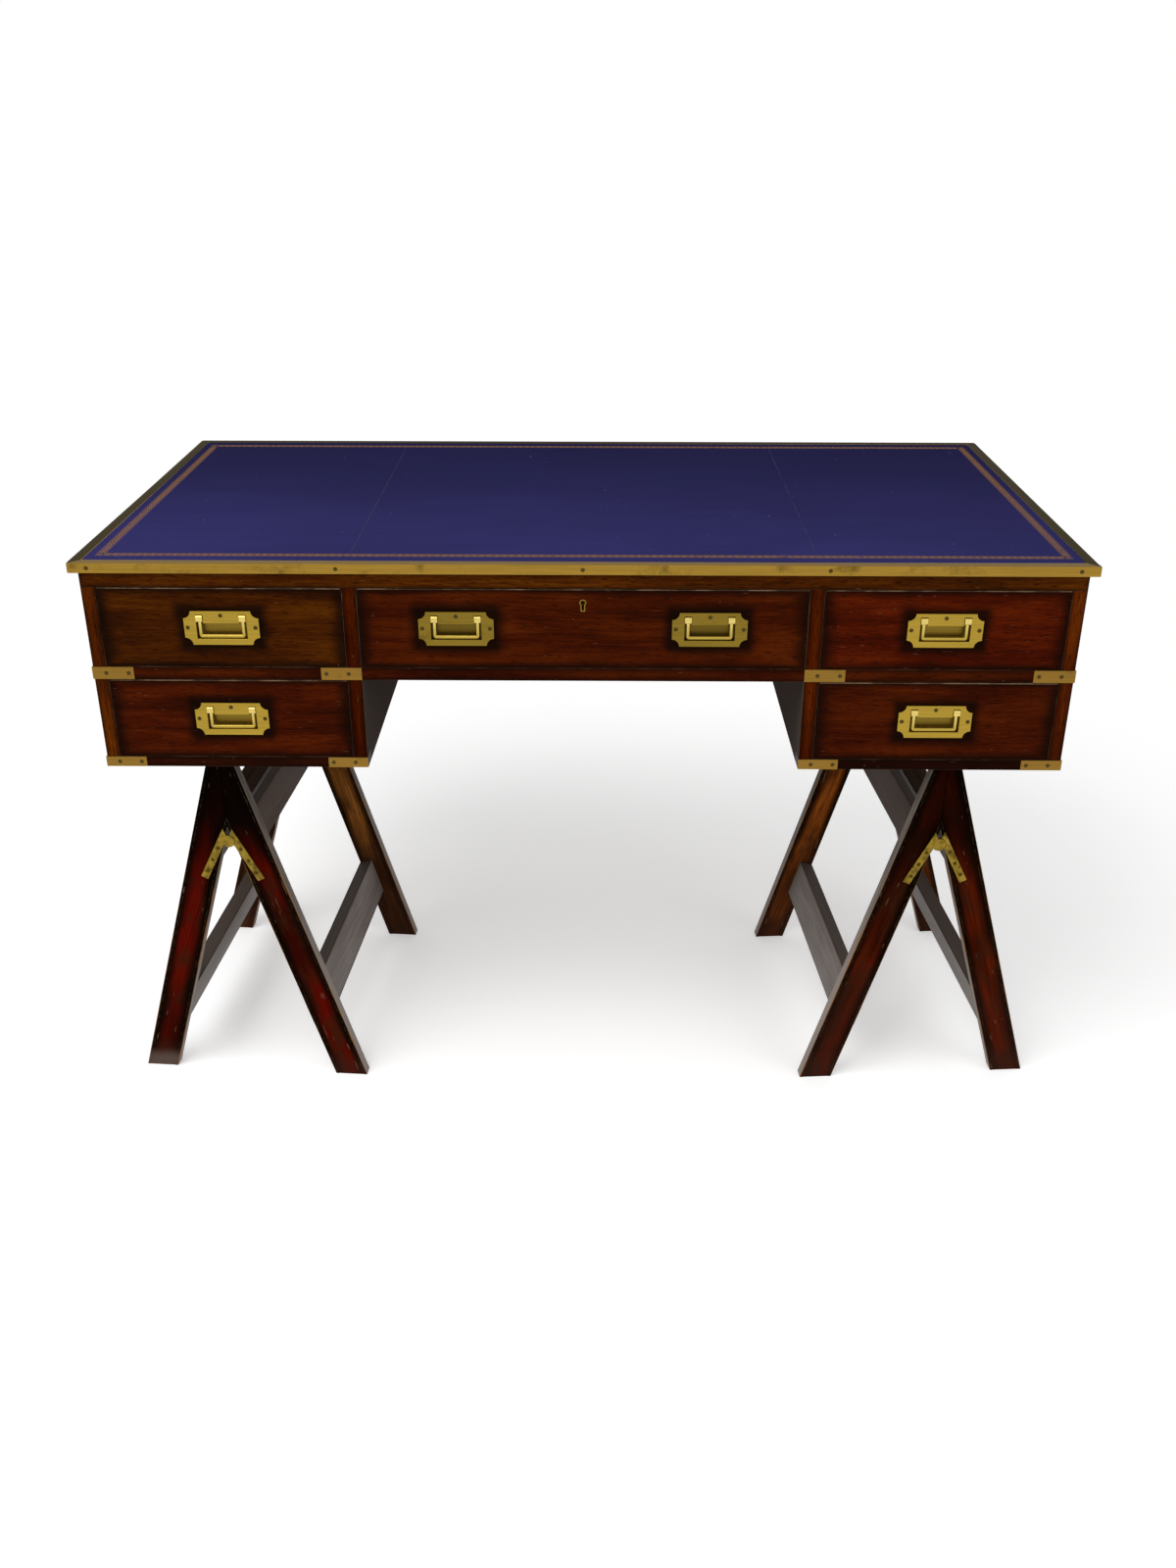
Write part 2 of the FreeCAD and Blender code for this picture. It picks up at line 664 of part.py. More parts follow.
def raked_board(name, hand, height, width, inner, outer):
    """A board across the frame: its faces follow the rake, from inner to outer thickness."""
    def at(level, depth):
        x = ("foot_inner - (%s) * tan(leg_lean) + (%s) * cos(leg_lean)" % (level, depth))
        z = ("%s + (%s) * sin(leg_lean)" % (level, depth))
        return outward(hand, x), z
    top = "%s + (%s) * cos(leg_lean)" % (height, width)
    corners = [at(height, inner), at(height, outer), at(top, outer), at(top, inner)]
    return profile(name, corners, "leg_thickness", "trestle_depth - 2 * leg_thickness")


def along_leaf(hand, run, offset):
    """A point on a hinge leaf: run down the leaf from the pivot, offset out from its axis."""
    x = "(%s) * sin(leaf_angle) + (%s) * cos(leaf_angle)" % (run, offset)
    z = "pivot_height - (%s) * cos(leaf_angle) + (%s) * sin(leaf_angle)" % (run, offset)
    return outward(hand, x), z


def layers(face, way):
    """y spans of a hinge at one face of the trestle: the lug's front half and its back half."""
    def span(near, far):
        ends = ("%s + (%d) * (%s)" % (face, way, near), "%s + (%d) * (%s)" % (face, way, far))
        return ends if way > 0 else (ends[1], ends[0])
    half = "leaf_thickness / 2"
    return {"all": span("0", "leaf_thickness"),
            "front": span("%s + lug_gap / 2" % half, "leaf_thickness"),
            "back": span("0", "%s - lug_gap / 2" % half),
            "front_room": span("%s - lug_gap / 2" % half, "leaf_thickness + 1"),
            "back_room": span("-1", "%s + lug_gap / 2" % half),
            "pin": span("-hinge_pin_cap_height", "leaf_thickness"),
            "cap": span("-hinge_pin_cap_height", "-lug_gap / 2")}


def disc(name, radius, y):
    return rod(name, "y", radius, ("0", y[0], "pivot_height"), "(%s) - (%s)" % (y[1], y[0]))


def hinge_leaf(name, hand, face, way):
    """One leaf with its lug, its screws, and the pin where the leaf carries it."""
    spans = layers(face, way)
    carries_pin = hand < 0
    own, other = ("front", "back_room") if carries_pin else ("back", "front_room")
    inner = "leaf_offset - leaf_width"
    corners = [along_leaf(hand, "-leaf_tip", "leaf_offset"),
               along_leaf(hand, "leaf_length", "leaf_offset"),
               along_leaf(hand, "leaf_length", inner),
               along_leaf(hand, "lug_radius / 2", inner),
               along_leaf(hand, "-lug_radius / 2", inner)]
    thick = "leaf_thickness"
    arm = profile(name + "_arm", corners, spans["all"][0], thick)
    room = disc(name + "_room", "lug_radius + lug_clearance", spans[other])
    lug = disc(name + "_lug", "lug_radius", spans[own])
    blank = join(name + "_blank", [cut(name + "_notched", arm, [room]), lug])
    screws = []
    outer_face = "%s + (%d) * leaf_thickness" % (face, way)
    for count in range(3):
        run = "leaf_screw_start + %d * leaf_screw_pitch" % count
        x, z = along_leaf(hand, run, "leaf_offset - leaf_width / 2")
        screws += screw("%s_screw_%d" % (name, count), "y", -way, (x, outer_face, z))
    screw_set = join(name + "_screws", screws)
    hole = disc(name + "_eye", "hinge_pin_radius + pin_clearance", spans["pin"])
    leaf = cut(name + "_leaf", blank, [screw_set, hole])
    pieces = [leaf, screw_set]
    if carries_pin:
        stem = disc(name + "_pin_stem", "hinge_pin_radius", spans["pin"])
        cap = disc(name + "_pin_cap", "hinge_pin_cap_radius", spans["cap"])
        pieces.append(join(name + "_pin", [stem, cap]))
    return pieces, screw_set


def build_trestle(side, trestle):
    for hand in (-1, 1):
        outer = hand == side
        name = "%s_trestle_%s" % (trestle, "outer" if outer else "inner")
        front_pieces, front_screws = hinge_leaf(name + "_front", hand, "0", -1)
        rear_pieces, rear_screws = hinge_leaf(name + "_rear", hand, "trestle_depth", 1)
        front_blank = leg(name + "_front_leg_blank", hand, "0")
        rear_blank = leg(name + "_rear_leg_blank", hand, "rear_leg_front")
        front_leg = cut(name + "_front_leg_bored", front_blank, [front_screws])
        rear_leg = cut(name + "_rear_leg_bored", rear_blank, [rear_screws])
        boards = [raked_board(name + "_rail", hand, "rail_bottom", "rail_width",
                              "0", "rail_thickness"),
                  raked_board(name + "_stretcher", hand, "stretcher_height", "stretcher_width",
                              "0", "stretcher_thickness")]
        if outer:
            boards.append(raked_board(name + "_batten", hand, "rail_bottom",
                                      "rail_width - batten_step", "rail_thickness",
                                      "rail_thickness + batten_thickness"))
        publish(name + "_front_leg", stand(side, front_leg))
        publish(name + "_rear_leg", stand(side, rear_leg))
        publish(name + "_cross_rails", stand(side, group(name + "_boards", boards)))
        publish(name + "_hinge_leaves", stand(side, group(name + "_brass",
                                                          front_pieces + rear_pieces)))


# ---------------------------------------------------------------- the whole desk
def check(document):
    for thing in document.Objects:
        if "Invalid" in thing.State or "Error" in thing.State:
            raise RuntimeError("failed: %s %s" % (thing.Name, thing.State))
    for label, thing in MODEL["published"]:
        shape = thing.Shape
        if shape.isNull() or not shape.isValid() or not shape.Solids:
            raise RuntimeError("bad shape: %s" % label)


def main():
    os.makedirs("parts", exist_ok=True)
    document = FreeCAD.newDocument("campaign_desk")
    MODEL["doc"] = document
    sheet = document.addObject("Spreadsheet::Sheet", "sizes")
    for row, (alias, value) in enumerate(SIZES, 1):
        sheet.set("A%d" % row, alias.replace("_", " "))
        sheet.set("B%d" % row, str(value))
        sheet.setAlias("B%d" % row, alias)
    document.recompute()
    edging_screw_group = build_top()
    build_case(edging_screw_group)
    build_drawers()
    build_trestle(-1, "left")
    build_trestle(1, "right")
    document.recompute()
    check(document)
    for label, thing in MODEL["published"]:
        thing.Shape.exportStep("parts/%s.step" % label)
        print("%-42s %3d solids %12.1f mm3" % (label, len(thing.Shape.Solids), thing.Shape.Volume))
    print(len(MODEL["published"]), "sub-parts")


main()
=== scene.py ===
"""Campaign desk: the finish of its mahogany, brass and leather, and its small brass fittings.

Metres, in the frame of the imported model: +X to the right, -Y towards the sitter, +Z up.
"""
import json
import math
import random

import bmesh
import bpy
from bpy.props import FloatProperty, FloatVectorProperty, IntProperty, PointerProperty
from mathutils import Matrix, Vector

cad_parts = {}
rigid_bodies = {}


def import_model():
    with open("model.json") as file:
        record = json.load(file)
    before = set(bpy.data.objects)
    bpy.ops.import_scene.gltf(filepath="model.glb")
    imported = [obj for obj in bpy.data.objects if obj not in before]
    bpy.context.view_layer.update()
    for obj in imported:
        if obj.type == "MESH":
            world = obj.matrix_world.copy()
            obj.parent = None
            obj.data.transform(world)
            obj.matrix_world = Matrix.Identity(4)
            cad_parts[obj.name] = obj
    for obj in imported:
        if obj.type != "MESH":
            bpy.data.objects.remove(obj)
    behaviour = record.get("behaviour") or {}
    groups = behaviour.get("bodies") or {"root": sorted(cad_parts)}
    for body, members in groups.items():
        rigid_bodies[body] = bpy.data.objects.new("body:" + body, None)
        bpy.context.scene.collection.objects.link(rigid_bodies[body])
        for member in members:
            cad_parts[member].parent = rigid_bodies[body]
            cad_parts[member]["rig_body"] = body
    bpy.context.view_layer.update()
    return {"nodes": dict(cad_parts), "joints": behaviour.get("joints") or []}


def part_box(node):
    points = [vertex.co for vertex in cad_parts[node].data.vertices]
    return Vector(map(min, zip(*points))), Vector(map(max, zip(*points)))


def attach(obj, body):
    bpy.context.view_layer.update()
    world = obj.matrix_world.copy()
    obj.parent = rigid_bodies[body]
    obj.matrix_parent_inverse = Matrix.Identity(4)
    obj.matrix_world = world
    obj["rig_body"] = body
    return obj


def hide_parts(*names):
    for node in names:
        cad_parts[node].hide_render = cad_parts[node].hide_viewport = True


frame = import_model()
NODES = frame["nodes"]
JOINTS = {row["name"]: row for row in frame["joints"]}

bl_info = {
    "name": "Campaign desk finish",
    "version": (1, 0, 0),
    "blender": (4, 5, 0),
    "location": "3D View > Sidebar > Desk",
    "description": "Finishes a campaign desk: mahogany, brass fittings and a tooled leather top",
    "category": "Object",
}

MM = 0.001
RIGHT = Vector((1, 0, 0))
TOWARDS_SITTER = Vector((0, -1, 0))
UP = Vector((0, 0, 1))
SIDES = (-1, 1)
HANDS = ("left", "right")


# ---------------------------------------------------------------- settings
def length(name, description, default):
    """A setting in metres."""
    return FloatProperty(name=name, description=description, default=default, unit="LENGTH",
                         subtype="DISTANCE", precision=5, min=0.0)


def share(name, description, default):
    """A setting from 0 to 1."""
    return FloatProperty(name=name, description=description, default=default, subtype="FACTOR",
                         min=0.0, max=1.0)


def colour(name, description, default):
    """A colour setting."""
    return FloatVectorProperty(name=name, description=description, default=default,
                               subtype="COLOR", size=3, min=0.0, max=1.0)


class WoodSettings(bpy.types.PropertyGroup):
    arris: length("Arris", "Rounding of the wooden edges", 0.7 * MM)
    dark: colour("Dark figure", "Colour of the dark streaks", (0.014, 0.0026, 0.0005))
    ground: colour("Ground", "Main colour of the polished wood", (0.040, 0.0047, 0.0004))
    light: colour("Light figure", "Colour of the light streaks", (0.080, 0.0125, 0.0008))
    # Also darkened for the painted shadow of the case on the legs' heads.
    old_polish_and_shadow: colour("Old polish", "Colour of the dirt and old polish in the corners",
                 (0.0042, 0.0018, 0.0007))
    # This colour also serves the painted highlight along the top edges of drawer fronts and rails.
    rubbed: colour("Rubbed edge", "Colour of the wood where the polish is rubbed through",
                   (0.26, 0.16, 0.095))
    # Painted reflection: a grey laid on the kneehole sides for the polish's sheen seen at a
    # grazing angle.
    grazing_sheen: colour("Bloom", "Colour of the dulled polish on the kneehole sides",
                  (0.062, 0.052, 0.045))
    gloss: share("Roughness", "Roughness of the polish", 0.30)
    sheen: share("Sheen", "Strength of the polish's reflection", 0.012)
    line_inset: length("Line inset", "Distance of the scratched line from a leg's edge", 4.0 * MM)
    line_depth: length("Line depth", "Depth of the scratched line", 0.25 * MM)


class BrassSettings(bpy.types.PropertyGroup):
    arris: length("Arris", "Rounding of the edges of small brass", 0.28 * MM)
    nosing: length("Nosing", "Rounding of the edging round the top", 2.0 * MM)
    bright: colour("Bright", "Colour of the rubbed brass", (0.43, 0.285, 0.038))
    handle: colour("Handle", "Colour of the brass of the drop handles", (0.50, 0.355, 0.062))
    strap: colour("Straps", "Colour of the brass straps", (0.275, 0.152, 0.027))
    edging: colour("Edging", "Colour of the brass edging", (0.36, 0.213, 0.032))
    screw: colour("Screws", "Colour of the screws of case and handles", (0.080, 0.054, 0.018))
    dull: colour("Dull", "Colour of the tarnished brass", (0.085, 0.055, 0.010))
    screw_slot: length("Screw slot", "Width of the slots in the screws", 0.6 * MM)


class LeatherSettings(bpy.types.PropertyGroup):
    hide: colour("Hide", "Colour of the leather", (0.0240, 0.0222, 0.0925))
    shine: share("Shine", "Strength of the leather's reflection", 0.0005)
    gilt: colour("Gilt", "Colour of the tooled gold", (0.27, 0.125, 0.018))
    faded: colour("Faded gilt", "Colour of the tooled seams", (0.040, 0.038, 0.036))
    border_side: length("Border at the ends", "Leather edge to tooled border, left and right",
                        10.5 * MM)
    border_front: length("Border along the front", "Leather edge to tooled border, front and back",
                         17.5 * MM)
    border_width: length("Border width", "Width of the tooled border", 10.0 * MM)
    repeat: length("Repeat", "Length of one link of the tooled chain", 9.0 * MM)
    seam_place: length("Seam place", "Distance of the two cross seams from the middle",
                       281.0 * MM)


class StudioSettings(bpy.types.PropertyGroup):
    floor: share("Floor", "Tone of the floor", 0.9)
    lift: share("Lift", "Brightness given to the floor near the desk", 0.32)
    near: length("Near", "Distance from the desk at which the floor starts to whiten", 0.9)
    far: length("Far", "Distance at which the floor is white", 2.0)
    ambient: FloatProperty(name="Ambient", description="Strength of the room's even light",
                           default=0.58, min=0.0)
    key: FloatProperty(name="Key", description="Power of the large lamp at the front left",
                       default=62.0, min=0.0, unit="POWER")
    fill: FloatProperty(name="Fill", description="Power of the lamp at the front right",
                        default=12.0, min=0.0, unit="POWER")


class DeskSettings(bpy.types.PropertyGroup):
    wood: PointerProperty(type=WoodSettings, name="Wood", description="Mahogany")
    brass: PointerProperty(type=BrassSettings, name="Brass", description="Brass fittings")
    leather: PointerProperty(type=LeatherSettings, name="Leather", description="Writing surface")
    studio: PointerProperty(type=StudioSettings, name="Studio", description="Floor and lamps")
    seed: IntProperty(name="Seed", description="Choice of the boards' figure", default=7, min=0)


def settings(context):
    """The desk's settings in the open scene."""
    return context.scene.campaign_desk


# ---------------------------------------------------------------- shaping
SHARP = math.radians(40)
CREASE = 0.05
FLAT = math.radians(1)
SMOOTH_ANGLE = 35
NEARLY_ALONG = 0.99
NEARLY_SQUARE = 0.1
TOUCH = 1e-5
WELD_DIGITS = 6
FACE_WEIGHT = 90
FIGURE_SHIFT = 40.0
SOFT_ARRIS = 0.4 * MM
# The least and greatest length and head of a wood screw, and where its ends begin.
SCREW_LENGTHS = (9.5 * MM, 11 * MM)
SCREW_HEADS = (4 * MM, 6.5 * MM)
SCREW_END = 4 * MM


def corners_of(points):
    """The lowest and the highest corner of the box round some points."""
    low = Vector([min(p[axis] for p in points) for axis in range(3)])
    high = Vector([max(p[axis] for p in points) for axis in range(3)])
    return low, high


def solids_of(node):
    """A mesh of the node's solids, each welded by itself, with flat faces in one piece."""
    bm = bmesh.new()
    mesh = NODES[node].data
    corners = {}
    unmatched = set()
    for polygon in mesh.polygons:
        spots = [mesh.vertices[index].co for index in polygon.vertices]
        keys = [tuple(round(value, WELD_DIGITS) for value in spot) for spot in spots]
        for key, spot in zip(keys, spots):
            if key not in corners:
                corners[key] = bm.verts.new(spot)
        if len(set(keys)) == len(keys):
            bm.faces.new([corners[key] for key in keys])
        for pair in zip(keys, keys[1:] + keys[:1]):
            if pair[0] != pair[1]:
                unmatched ^= {frozenset(pair)}
        if not unmatched:
            corners = {}
    bmesh.ops.dissolve_limit(bm, angle_limit=FLAT, verts=bm.verts, edges=bm.edges,
                             use_dissolve_boundaries=False)
    return bm


def loose_parts(bm):
    """The separate solids of a mesh, each a list of its vertices."""
    seen = set()
    parts = []
    for start in bm.verts:
        if start in seen:
            continue
        seen.add(start)
        part = [start]
        for vertex in part:
            for edge in vertex.link_edges:
                other = edge.other_vert(vertex)
                if other not in seen:
                    seen.add(other)
                    part.append(other)
        parts.append(part)
    return parts


def is_screw(points):
    """True for a loose part that is one of the desk's small wood screws."""
    low, high = corners_of(points)
    spans = sorted(high - low)
    return (SCREW_LENGTHS[0] < spans[2] < SCREW_LENGTHS[1]
            and SCREW_HEADS[0] < spans[1] < SCREW_HEADS[1])


def screw_place(points):
    """The middle of a screw's head, and the way it faces."""
    low, high = corners_of(points)
    middle = (low + high) / 2
    spans = high - low
    run = Vector([1.0 if spans[axis] == max(spans) else 0.0 for axis in range(3)])
    ends = {}
    for way in SIDES:
        end = [p for p in points if (p - middle).dot(run) * way > SCREW_END]
        centre = sum(end, Vector()) / len(end)
        ends[way] = (max((p - centre).length for p in end), centre)
    way = max(SIDES, key=lambda w: ends[w][0])
    axis = (ends[way][1] - ends[-way][1]).normalized()
    reach = max((p - ends[way][1]).dot(axis) for p in points)
    return ends[way][1] + axis * reach, axis


def drop_screws(bm):
    """Takes the screws out of a mesh; returns their places and outward directions."""
    found = []
    for part in loose_parts(bm):
        points = [v.co.copy() for v in part]
        if is_screw(points):
            found.append(screw_place(points))
            bmesh.ops.delete(bm, geom=part, context="VERTS")
    return found


def outline_edges(bm, skip_axis=None):
    """The edges that run along the outside corners of upright boards and strips."""
    chosen = []
    for part in loose_parts(bm):
        box = corners_of([v.co for v in part])
        touched = {v: {(axis, end) for axis in range(3) for end in range(2)
                       if abs(v.co[axis] - box[end][axis]) < TOUCH} for v in part}
        for edge in {e for v in part for e in v.link_edges}:
            shared = touched[edge.verts[0]] & touched[edge.verts[1]]
            across = {axis for axis, end in shared}
            if len(across) > 1 and skip_axis not in {0, 1, 2} - across:
                chosen.append(edge)
    return chosen


def long_edges(bm, least=3 * MM):
    """The edges that aren't short ones at a corner."""
    return [e for e in bm.edges if e.calc_length() > least]


def face_edges(bm, outward, holes=(), reach=3.3 * MM):
    """The edges round the faces that look outward, but for those round the screw holes."""
    chosen = []
    for edge in bm.edges:
        middle = (edge.verts[0].co + edge.verts[1].co) / 2
        near_hole = any((middle - place).length < reach for place, axis in holes)
        looks = [face.normal.dot(outward) > NEARLY_ALONG for face in edge.link_faces]
        if len(looks) == 2 and looks[0] != looks[1] and not near_hole:
            chosen.append(edge)
    return chosen


def bevel(bm, edges, width, segments, clamp=False):
    """Rounds the edges."""
    bmesh.ops.bevel(bm, geom=edges, offset=width, offset_type="OFFSET", segments=segments,
                    profile=0.5, affect="EDGES", clamp_overlap=clamp)


def round_off(bm, edges, width, segments=2):
    """Rounds those of the edges that are sharp and stand out."""
    chosen = [e for e in edges if len(e.link_faces) == 2 and e.is_convex
              and e.calc_face_angle(0) > SHARP]
    bevel(bm, chosen, width, segments)


def forward(way):
    """The same line, pointing right, back or up."""
    return way if max(way, key=abs) > 0 else -way


def lay_grain(bm, seed, run=None, through=None):
    """Gives each board its own axes: along the grain, across it and through its thickness."""
    bm.normal_update()
    layers = bm.verts.layers
    for name in ("board", "board_half", "board_shift"):
        layers.float_vector.new(name)
    layers.float.new("board_tone")
    place = layers.float_vector["board"]
    half = layers.float_vector["board_half"]
    shift = layers.float_vector["board_shift"]
    tone = layers.float["board_tone"]
    draw = random.Random(seed)
    for part in loose_parts(bm):
        creases = {e for v in part for e in v.link_edges if e.calc_face_angle(0.0) > CREASE}
        edges = sorted(creases, key=lambda e: -e.calc_length())
        ways = [(e.verts[1].co - e.verts[0].co).normalized() for e in edges]
        along = run or ways[0]
        square = [w for w in ways if abs(w.dot(along)) < NEARLY_SQUARE]
        across = square[0] if square else along.orthogonal()
        if through:
            across = through.cross(along)
        across = (across - along * across.dot(along)).normalized()
        along, across = forward(along), forward(across)
        axes = Matrix((along, across, along.cross(across)))
        spots = [axes @ v.co for v in part]
        low, high = corners_of(spots)
        offset = Vector([draw.uniform(-FIGURE_SHIFT, FIGURE_SHIFT) for axis in range(3)])
        mood = draw.random()
        for vertex, spot in zip(part, spots):
            vertex[place] = spot - (low + high) / 2
            vertex[half] = (high - low) / 2
            vertex[shift] = offset
            vertex[tone] = mood


def sweep(bm, rings):
    """A closed solid through rings of points, each ring of the same count."""
    loops = [[bm.verts.new(point) for point in ring] for ring in rings]
    count = len(loops[0])
    for first, second in zip(loops, loops[1:]):
        for step in range(count):
            following = (step + 1) % count
            bm.faces.new((first[step], first[following], second[following], second[step]))
    bm.faces.new(list(reversed(loops[0])))
    bm.faces.new(loops[-1])


def turned(bm, centre, axis, profile, count=20):
    """A turned solid; its profile is a list of (radius, height along the axis)."""
    side = axis.orthogonal().normalized()
    other = axis.cross(side)
    angles = [2 * math.pi * step / count for step in range(count)]
    sweep(bm, [[centre + axis * height + (side * math.cos(a) + other * math.sin(a)) * radius
                for a in angles] for radius, height in profile])


def with_runs(path):
    """Each point of a flat path, with the path's direction there."""
    for step, spot in enumerate(path):
        before = Vector(path[max(step - 1, 0)])
        after = Vector(path[min(step + 1, len(path) - 1)])
        yield Vector(spot), (after - before).normalized()


def piece(name, bm, material, body, stands_for=(), smooth=SMOOTH_ANGLE):
    """Turns a mesh into a piece of the desk that moves with its body."""
    bmesh.ops.recalc_face_normals(bm, faces=bm.faces)
    mesh = bpy.data.meshes.new(name)
    bm.to_mesh(mesh)
    bm.free()
    mesh.polygons.foreach_set("use_smooth", [True] * len(mesh.polygons))
    mesh.set_sharp_from_angle(angle=math.radians(smooth))
    mesh.materials.append(material)
    thing = bpy.data.objects.new(name, mesh)
    bpy.context.scene.collection.objects.link(thing)
    even = thing.modifiers.new("even_faces", "WEIGHTED_NORMAL")
    even.keep_sharp = True
    even.weight = FACE_WEIGHT
    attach(thing, body)
    if stands_for:
        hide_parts(*stands_for)


def body_of(node):
    """The body that a node of the model moves with."""
    return NODES[node]["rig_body"]


def stand_in(node, bm, material, name=None, smooth=SMOOTH_ANGLE):
    """A piece that takes the place of one node of the model."""
    name = name or node + "_finished"
    piece(name, bm, material, body_of(node), [node], smooth)


def finish(node, material, arris, seed=None, run=None, name=None):
    """Rounds the outside edges of a node's boards or strips and gives wood its grain."""
    bm = solids_of(node)
    round_off(bm, outline_edges(bm), arris)
    if seed is not None:
        lay_grain(bm, seed, run)
    stand_in(node, bm, material, name)


# ---------------------------------------------------------------- nodes
def with_other(operation):
    """A method that reckons with a value and another one or a number."""
    return lambda value, other: value.nodes.reckon(operation, value, other)


class Value:
    """What a node gives. It can be added, multiplied and so on, as a number or a vector."""
    __add__ = with_other("ADD")
    __sub__ = with_other("SUBTRACT")
    __mul__ = with_other("MULTIPLY")
    __truediv__ = with_other("DIVIDE")
    least = with_other("MINIMUM")
    most = with_other("MAXIMUM")

    def __init__(self, nodes, socket):
        self.nodes = nodes
        self.socket = socket

    def __rsub__(self, other):
        return self.nodes.reckon("SUBTRACT", other, self)

    def __abs__(self):
        return self.nodes.reckon("ABSOLUTE", self)

    def rise(self, low, high, start=0.0, end=1.0):
        """Goes smoothly from start to end while the value goes from low to high."""
        return self.nodes.value(0, "ShaderNodeMapRange", (self, low, high, start, end),
                                interpolation_type="SMOOTHSTEP")

    def fade(self, low, high, start=1.0):
        """Goes smoothly from start to nothing while the value goes from low to high."""
        return self.rise(low, high, start, 0.0)


class Nodes:
    """A node tree in the making, with short ways to add and join its nodes."""

    def __init__(self, tree):
        self.tree = tree

    def join(self, value, socket):
        """Links a value to a socket, or sets the socket to a number or a colour."""
        if isinstance(value, Value):
            self.tree.links.new(value.socket, socket)
        else:
            socket.default_value = (*value, 1.0) if socket.type == "RGBA" else value

    def add(self, kind, inputs=(), **choices):
        """A new node, its inputs given in order or by their names."""
        node = self.tree.nodes.new(kind)
        for key, choice in choices.items():
            setattr(node, key, choice)
        for socket, value in (inputs.items() if isinstance(inputs, dict) else enumerate(inputs)):
            self.join(value, node.inputs[socket])
        return node

    def value(self, output, kind, inputs=(), **choices):
        """One of the values that a new node gives."""
        return Value(self, self.add(kind, inputs, **choices).outputs[output])

    def reckon(self, operation, *values):
        """A sum of numbers, or of vectors where one of the values is a vector."""
        vectors = any(isinstance(v, tuple) or isinstance(v, Value) and v.socket.type == "VECTOR"
                      for v in values)
        kind = "ShaderNodeVectorMath" if vectors else "ShaderNodeMath"
        return self.value(0, kind, values, operation=operation)

    def attribute(self, name, output="Vector"):
        """What the mesh says of a point: a vector, or a number from the output Fac."""
        return self.value(output, "ShaderNodeAttribute", attribute_name=name)

    def place(self):
        """Where a point lies, in metres."""
        return self.value("Object", "ShaderNodeTexCoord")

    def split(self, vector):
        """The three numbers of a vector."""
        node = self.add("ShaderNodeSeparateXYZ", (vector,))
        return [Value(self, output) for output in node.outputs]

    def upward(self):
        """1 on faces that look up, 0 on upright ones."""
        return self.split(self.value("Normal", "ShaderNodeNewGeometry"))[2]

    def noise(self, at, stretch, detail=3.0, roughness=0.55):
        """Clouds from 0 to 1, the finer along an axis the more it is stretched."""
        inputs = {"Vector": at * stretch, "Scale": 1.0, "Detail": detail, "Roughness": roughness}
        return self.value("Fac", "ShaderNodeTexNoise", inputs)

    def cells(self, at, scale, feature="F1"):
        """Distance to the nearest of many scattered points."""
        inputs = {"Vector": at, "Scale": scale}
        return self.value("Distance", "ShaderNodeTexVoronoi", inputs, feature=feature)

    def scratches(self, at, along, across, limit):
        """Short thin marks, as a mask."""
        return self.noise(at, (along, across, across), detail=1.0).rise(limit, limit + 0.03)

    def ramp(self, value, stops):
        """A colour from a list of (place, colour) stops."""
        node = self.add("ShaderNodeValToRGB", (value,))
        band = node.color_ramp.elements
        while len(band) < len(stops):
            band.new(0.5)
        for element, (place, tint) in zip(band, stops):
            element.position = place
            element.color = (*tint, 1.0)
        return Value(self, node.outputs["Color"])

    def blend(self, mask, under, over):
        """One colour over another, where the mask is 1."""
        return self.value(2, "ShaderNodeMix", {0: mask, 6: under, 7: over}, data_type="RGBA")

    def relief(self, height, distance, strength):
        """Bumps in the surface."""
        inputs = {"Height": height, "Distance": distance, "Strength": strength}
        return self.value(0, "ShaderNodeBump", inputs)

    def looked_at(self):
        """1 for what is seen, straight or in a reflection, and 0 for the light it gives."""
        rays = self.add("ShaderNodeLightPath").outputs
        camera, glossy, through = (Value(self, rays["Is %s Ray" % kind])
                                   for kind in ("Camera", "Glossy", "Transmission"))
        return camera.most(glossy).most(through)


class Finish(Nodes):
    """A material in the making: a ground colour with coats over it."""

    def __init__(self, name):
        self.material = bpy.data.materials.new(name)
        self.material.use_nodes = True
        super().__init__(self.material.node_tree)
        self.tint = None

    def coat(self, mask, colour_over):
        """Lays a colour over what is there, where the mask is 1."""
        self.tint = self.blend(mask, self.tint, colour_over)

    def done(self, **values):
        """Sets the shader and gives the material."""
        shader = self.tree.nodes["Principled BSDF"]
        for name, value in {"Base_Color": self.tint, **values}.items():
            self.join(value, shader.inputs[name.replace("_", " ")])
        return self.material


def shade(tint, strength):
    """A colour made darker or lighter."""
    return [strength * c for c in tint]


def corner_distance(ends, sides, faces):
    """How far a point lies from the nearest corner of its face, from its three depths."""
    return ends.least(sides).most(ends.most(sides).least(faces))


# ---------------------------------------------------------------- wood
WARM_STAIN = (0.032, 0.0105, 0.0040)
FOOT_SOOT = (0.030, 0.011, 0.007)
FOOT_DIRT = (0.040, 0.015, 0.010)
FOOT_DUST = (0.115, 0.082, 0.066)
FLANK_DARK = (0.095, 0.078, 0.068)
FLANK_PALE = (0.215, 0.185, 0.160)
FLANK_FOOT = (0.33, 0.29, 0.26)
OCHRE_EDGE = (0.30, 0.115, 0.030)
DUST_IN_LINE = (0.095, 0.070, 0.042)
# The rails' painted reflection of the pale floor: near the floor, higher up, along dark streaks,
# and the dark upward faces without it.
RAIL_SHEEN_LOW = (0.29, 0.262, 0.240)
RAIL_SHEEN_HIGH = (0.095, 0.068, 0.054)
RAIL_STREAK = (0.060, 0.051, 0.046)
RAIL_LEDGE = (0.060, 0.043, 0.034)


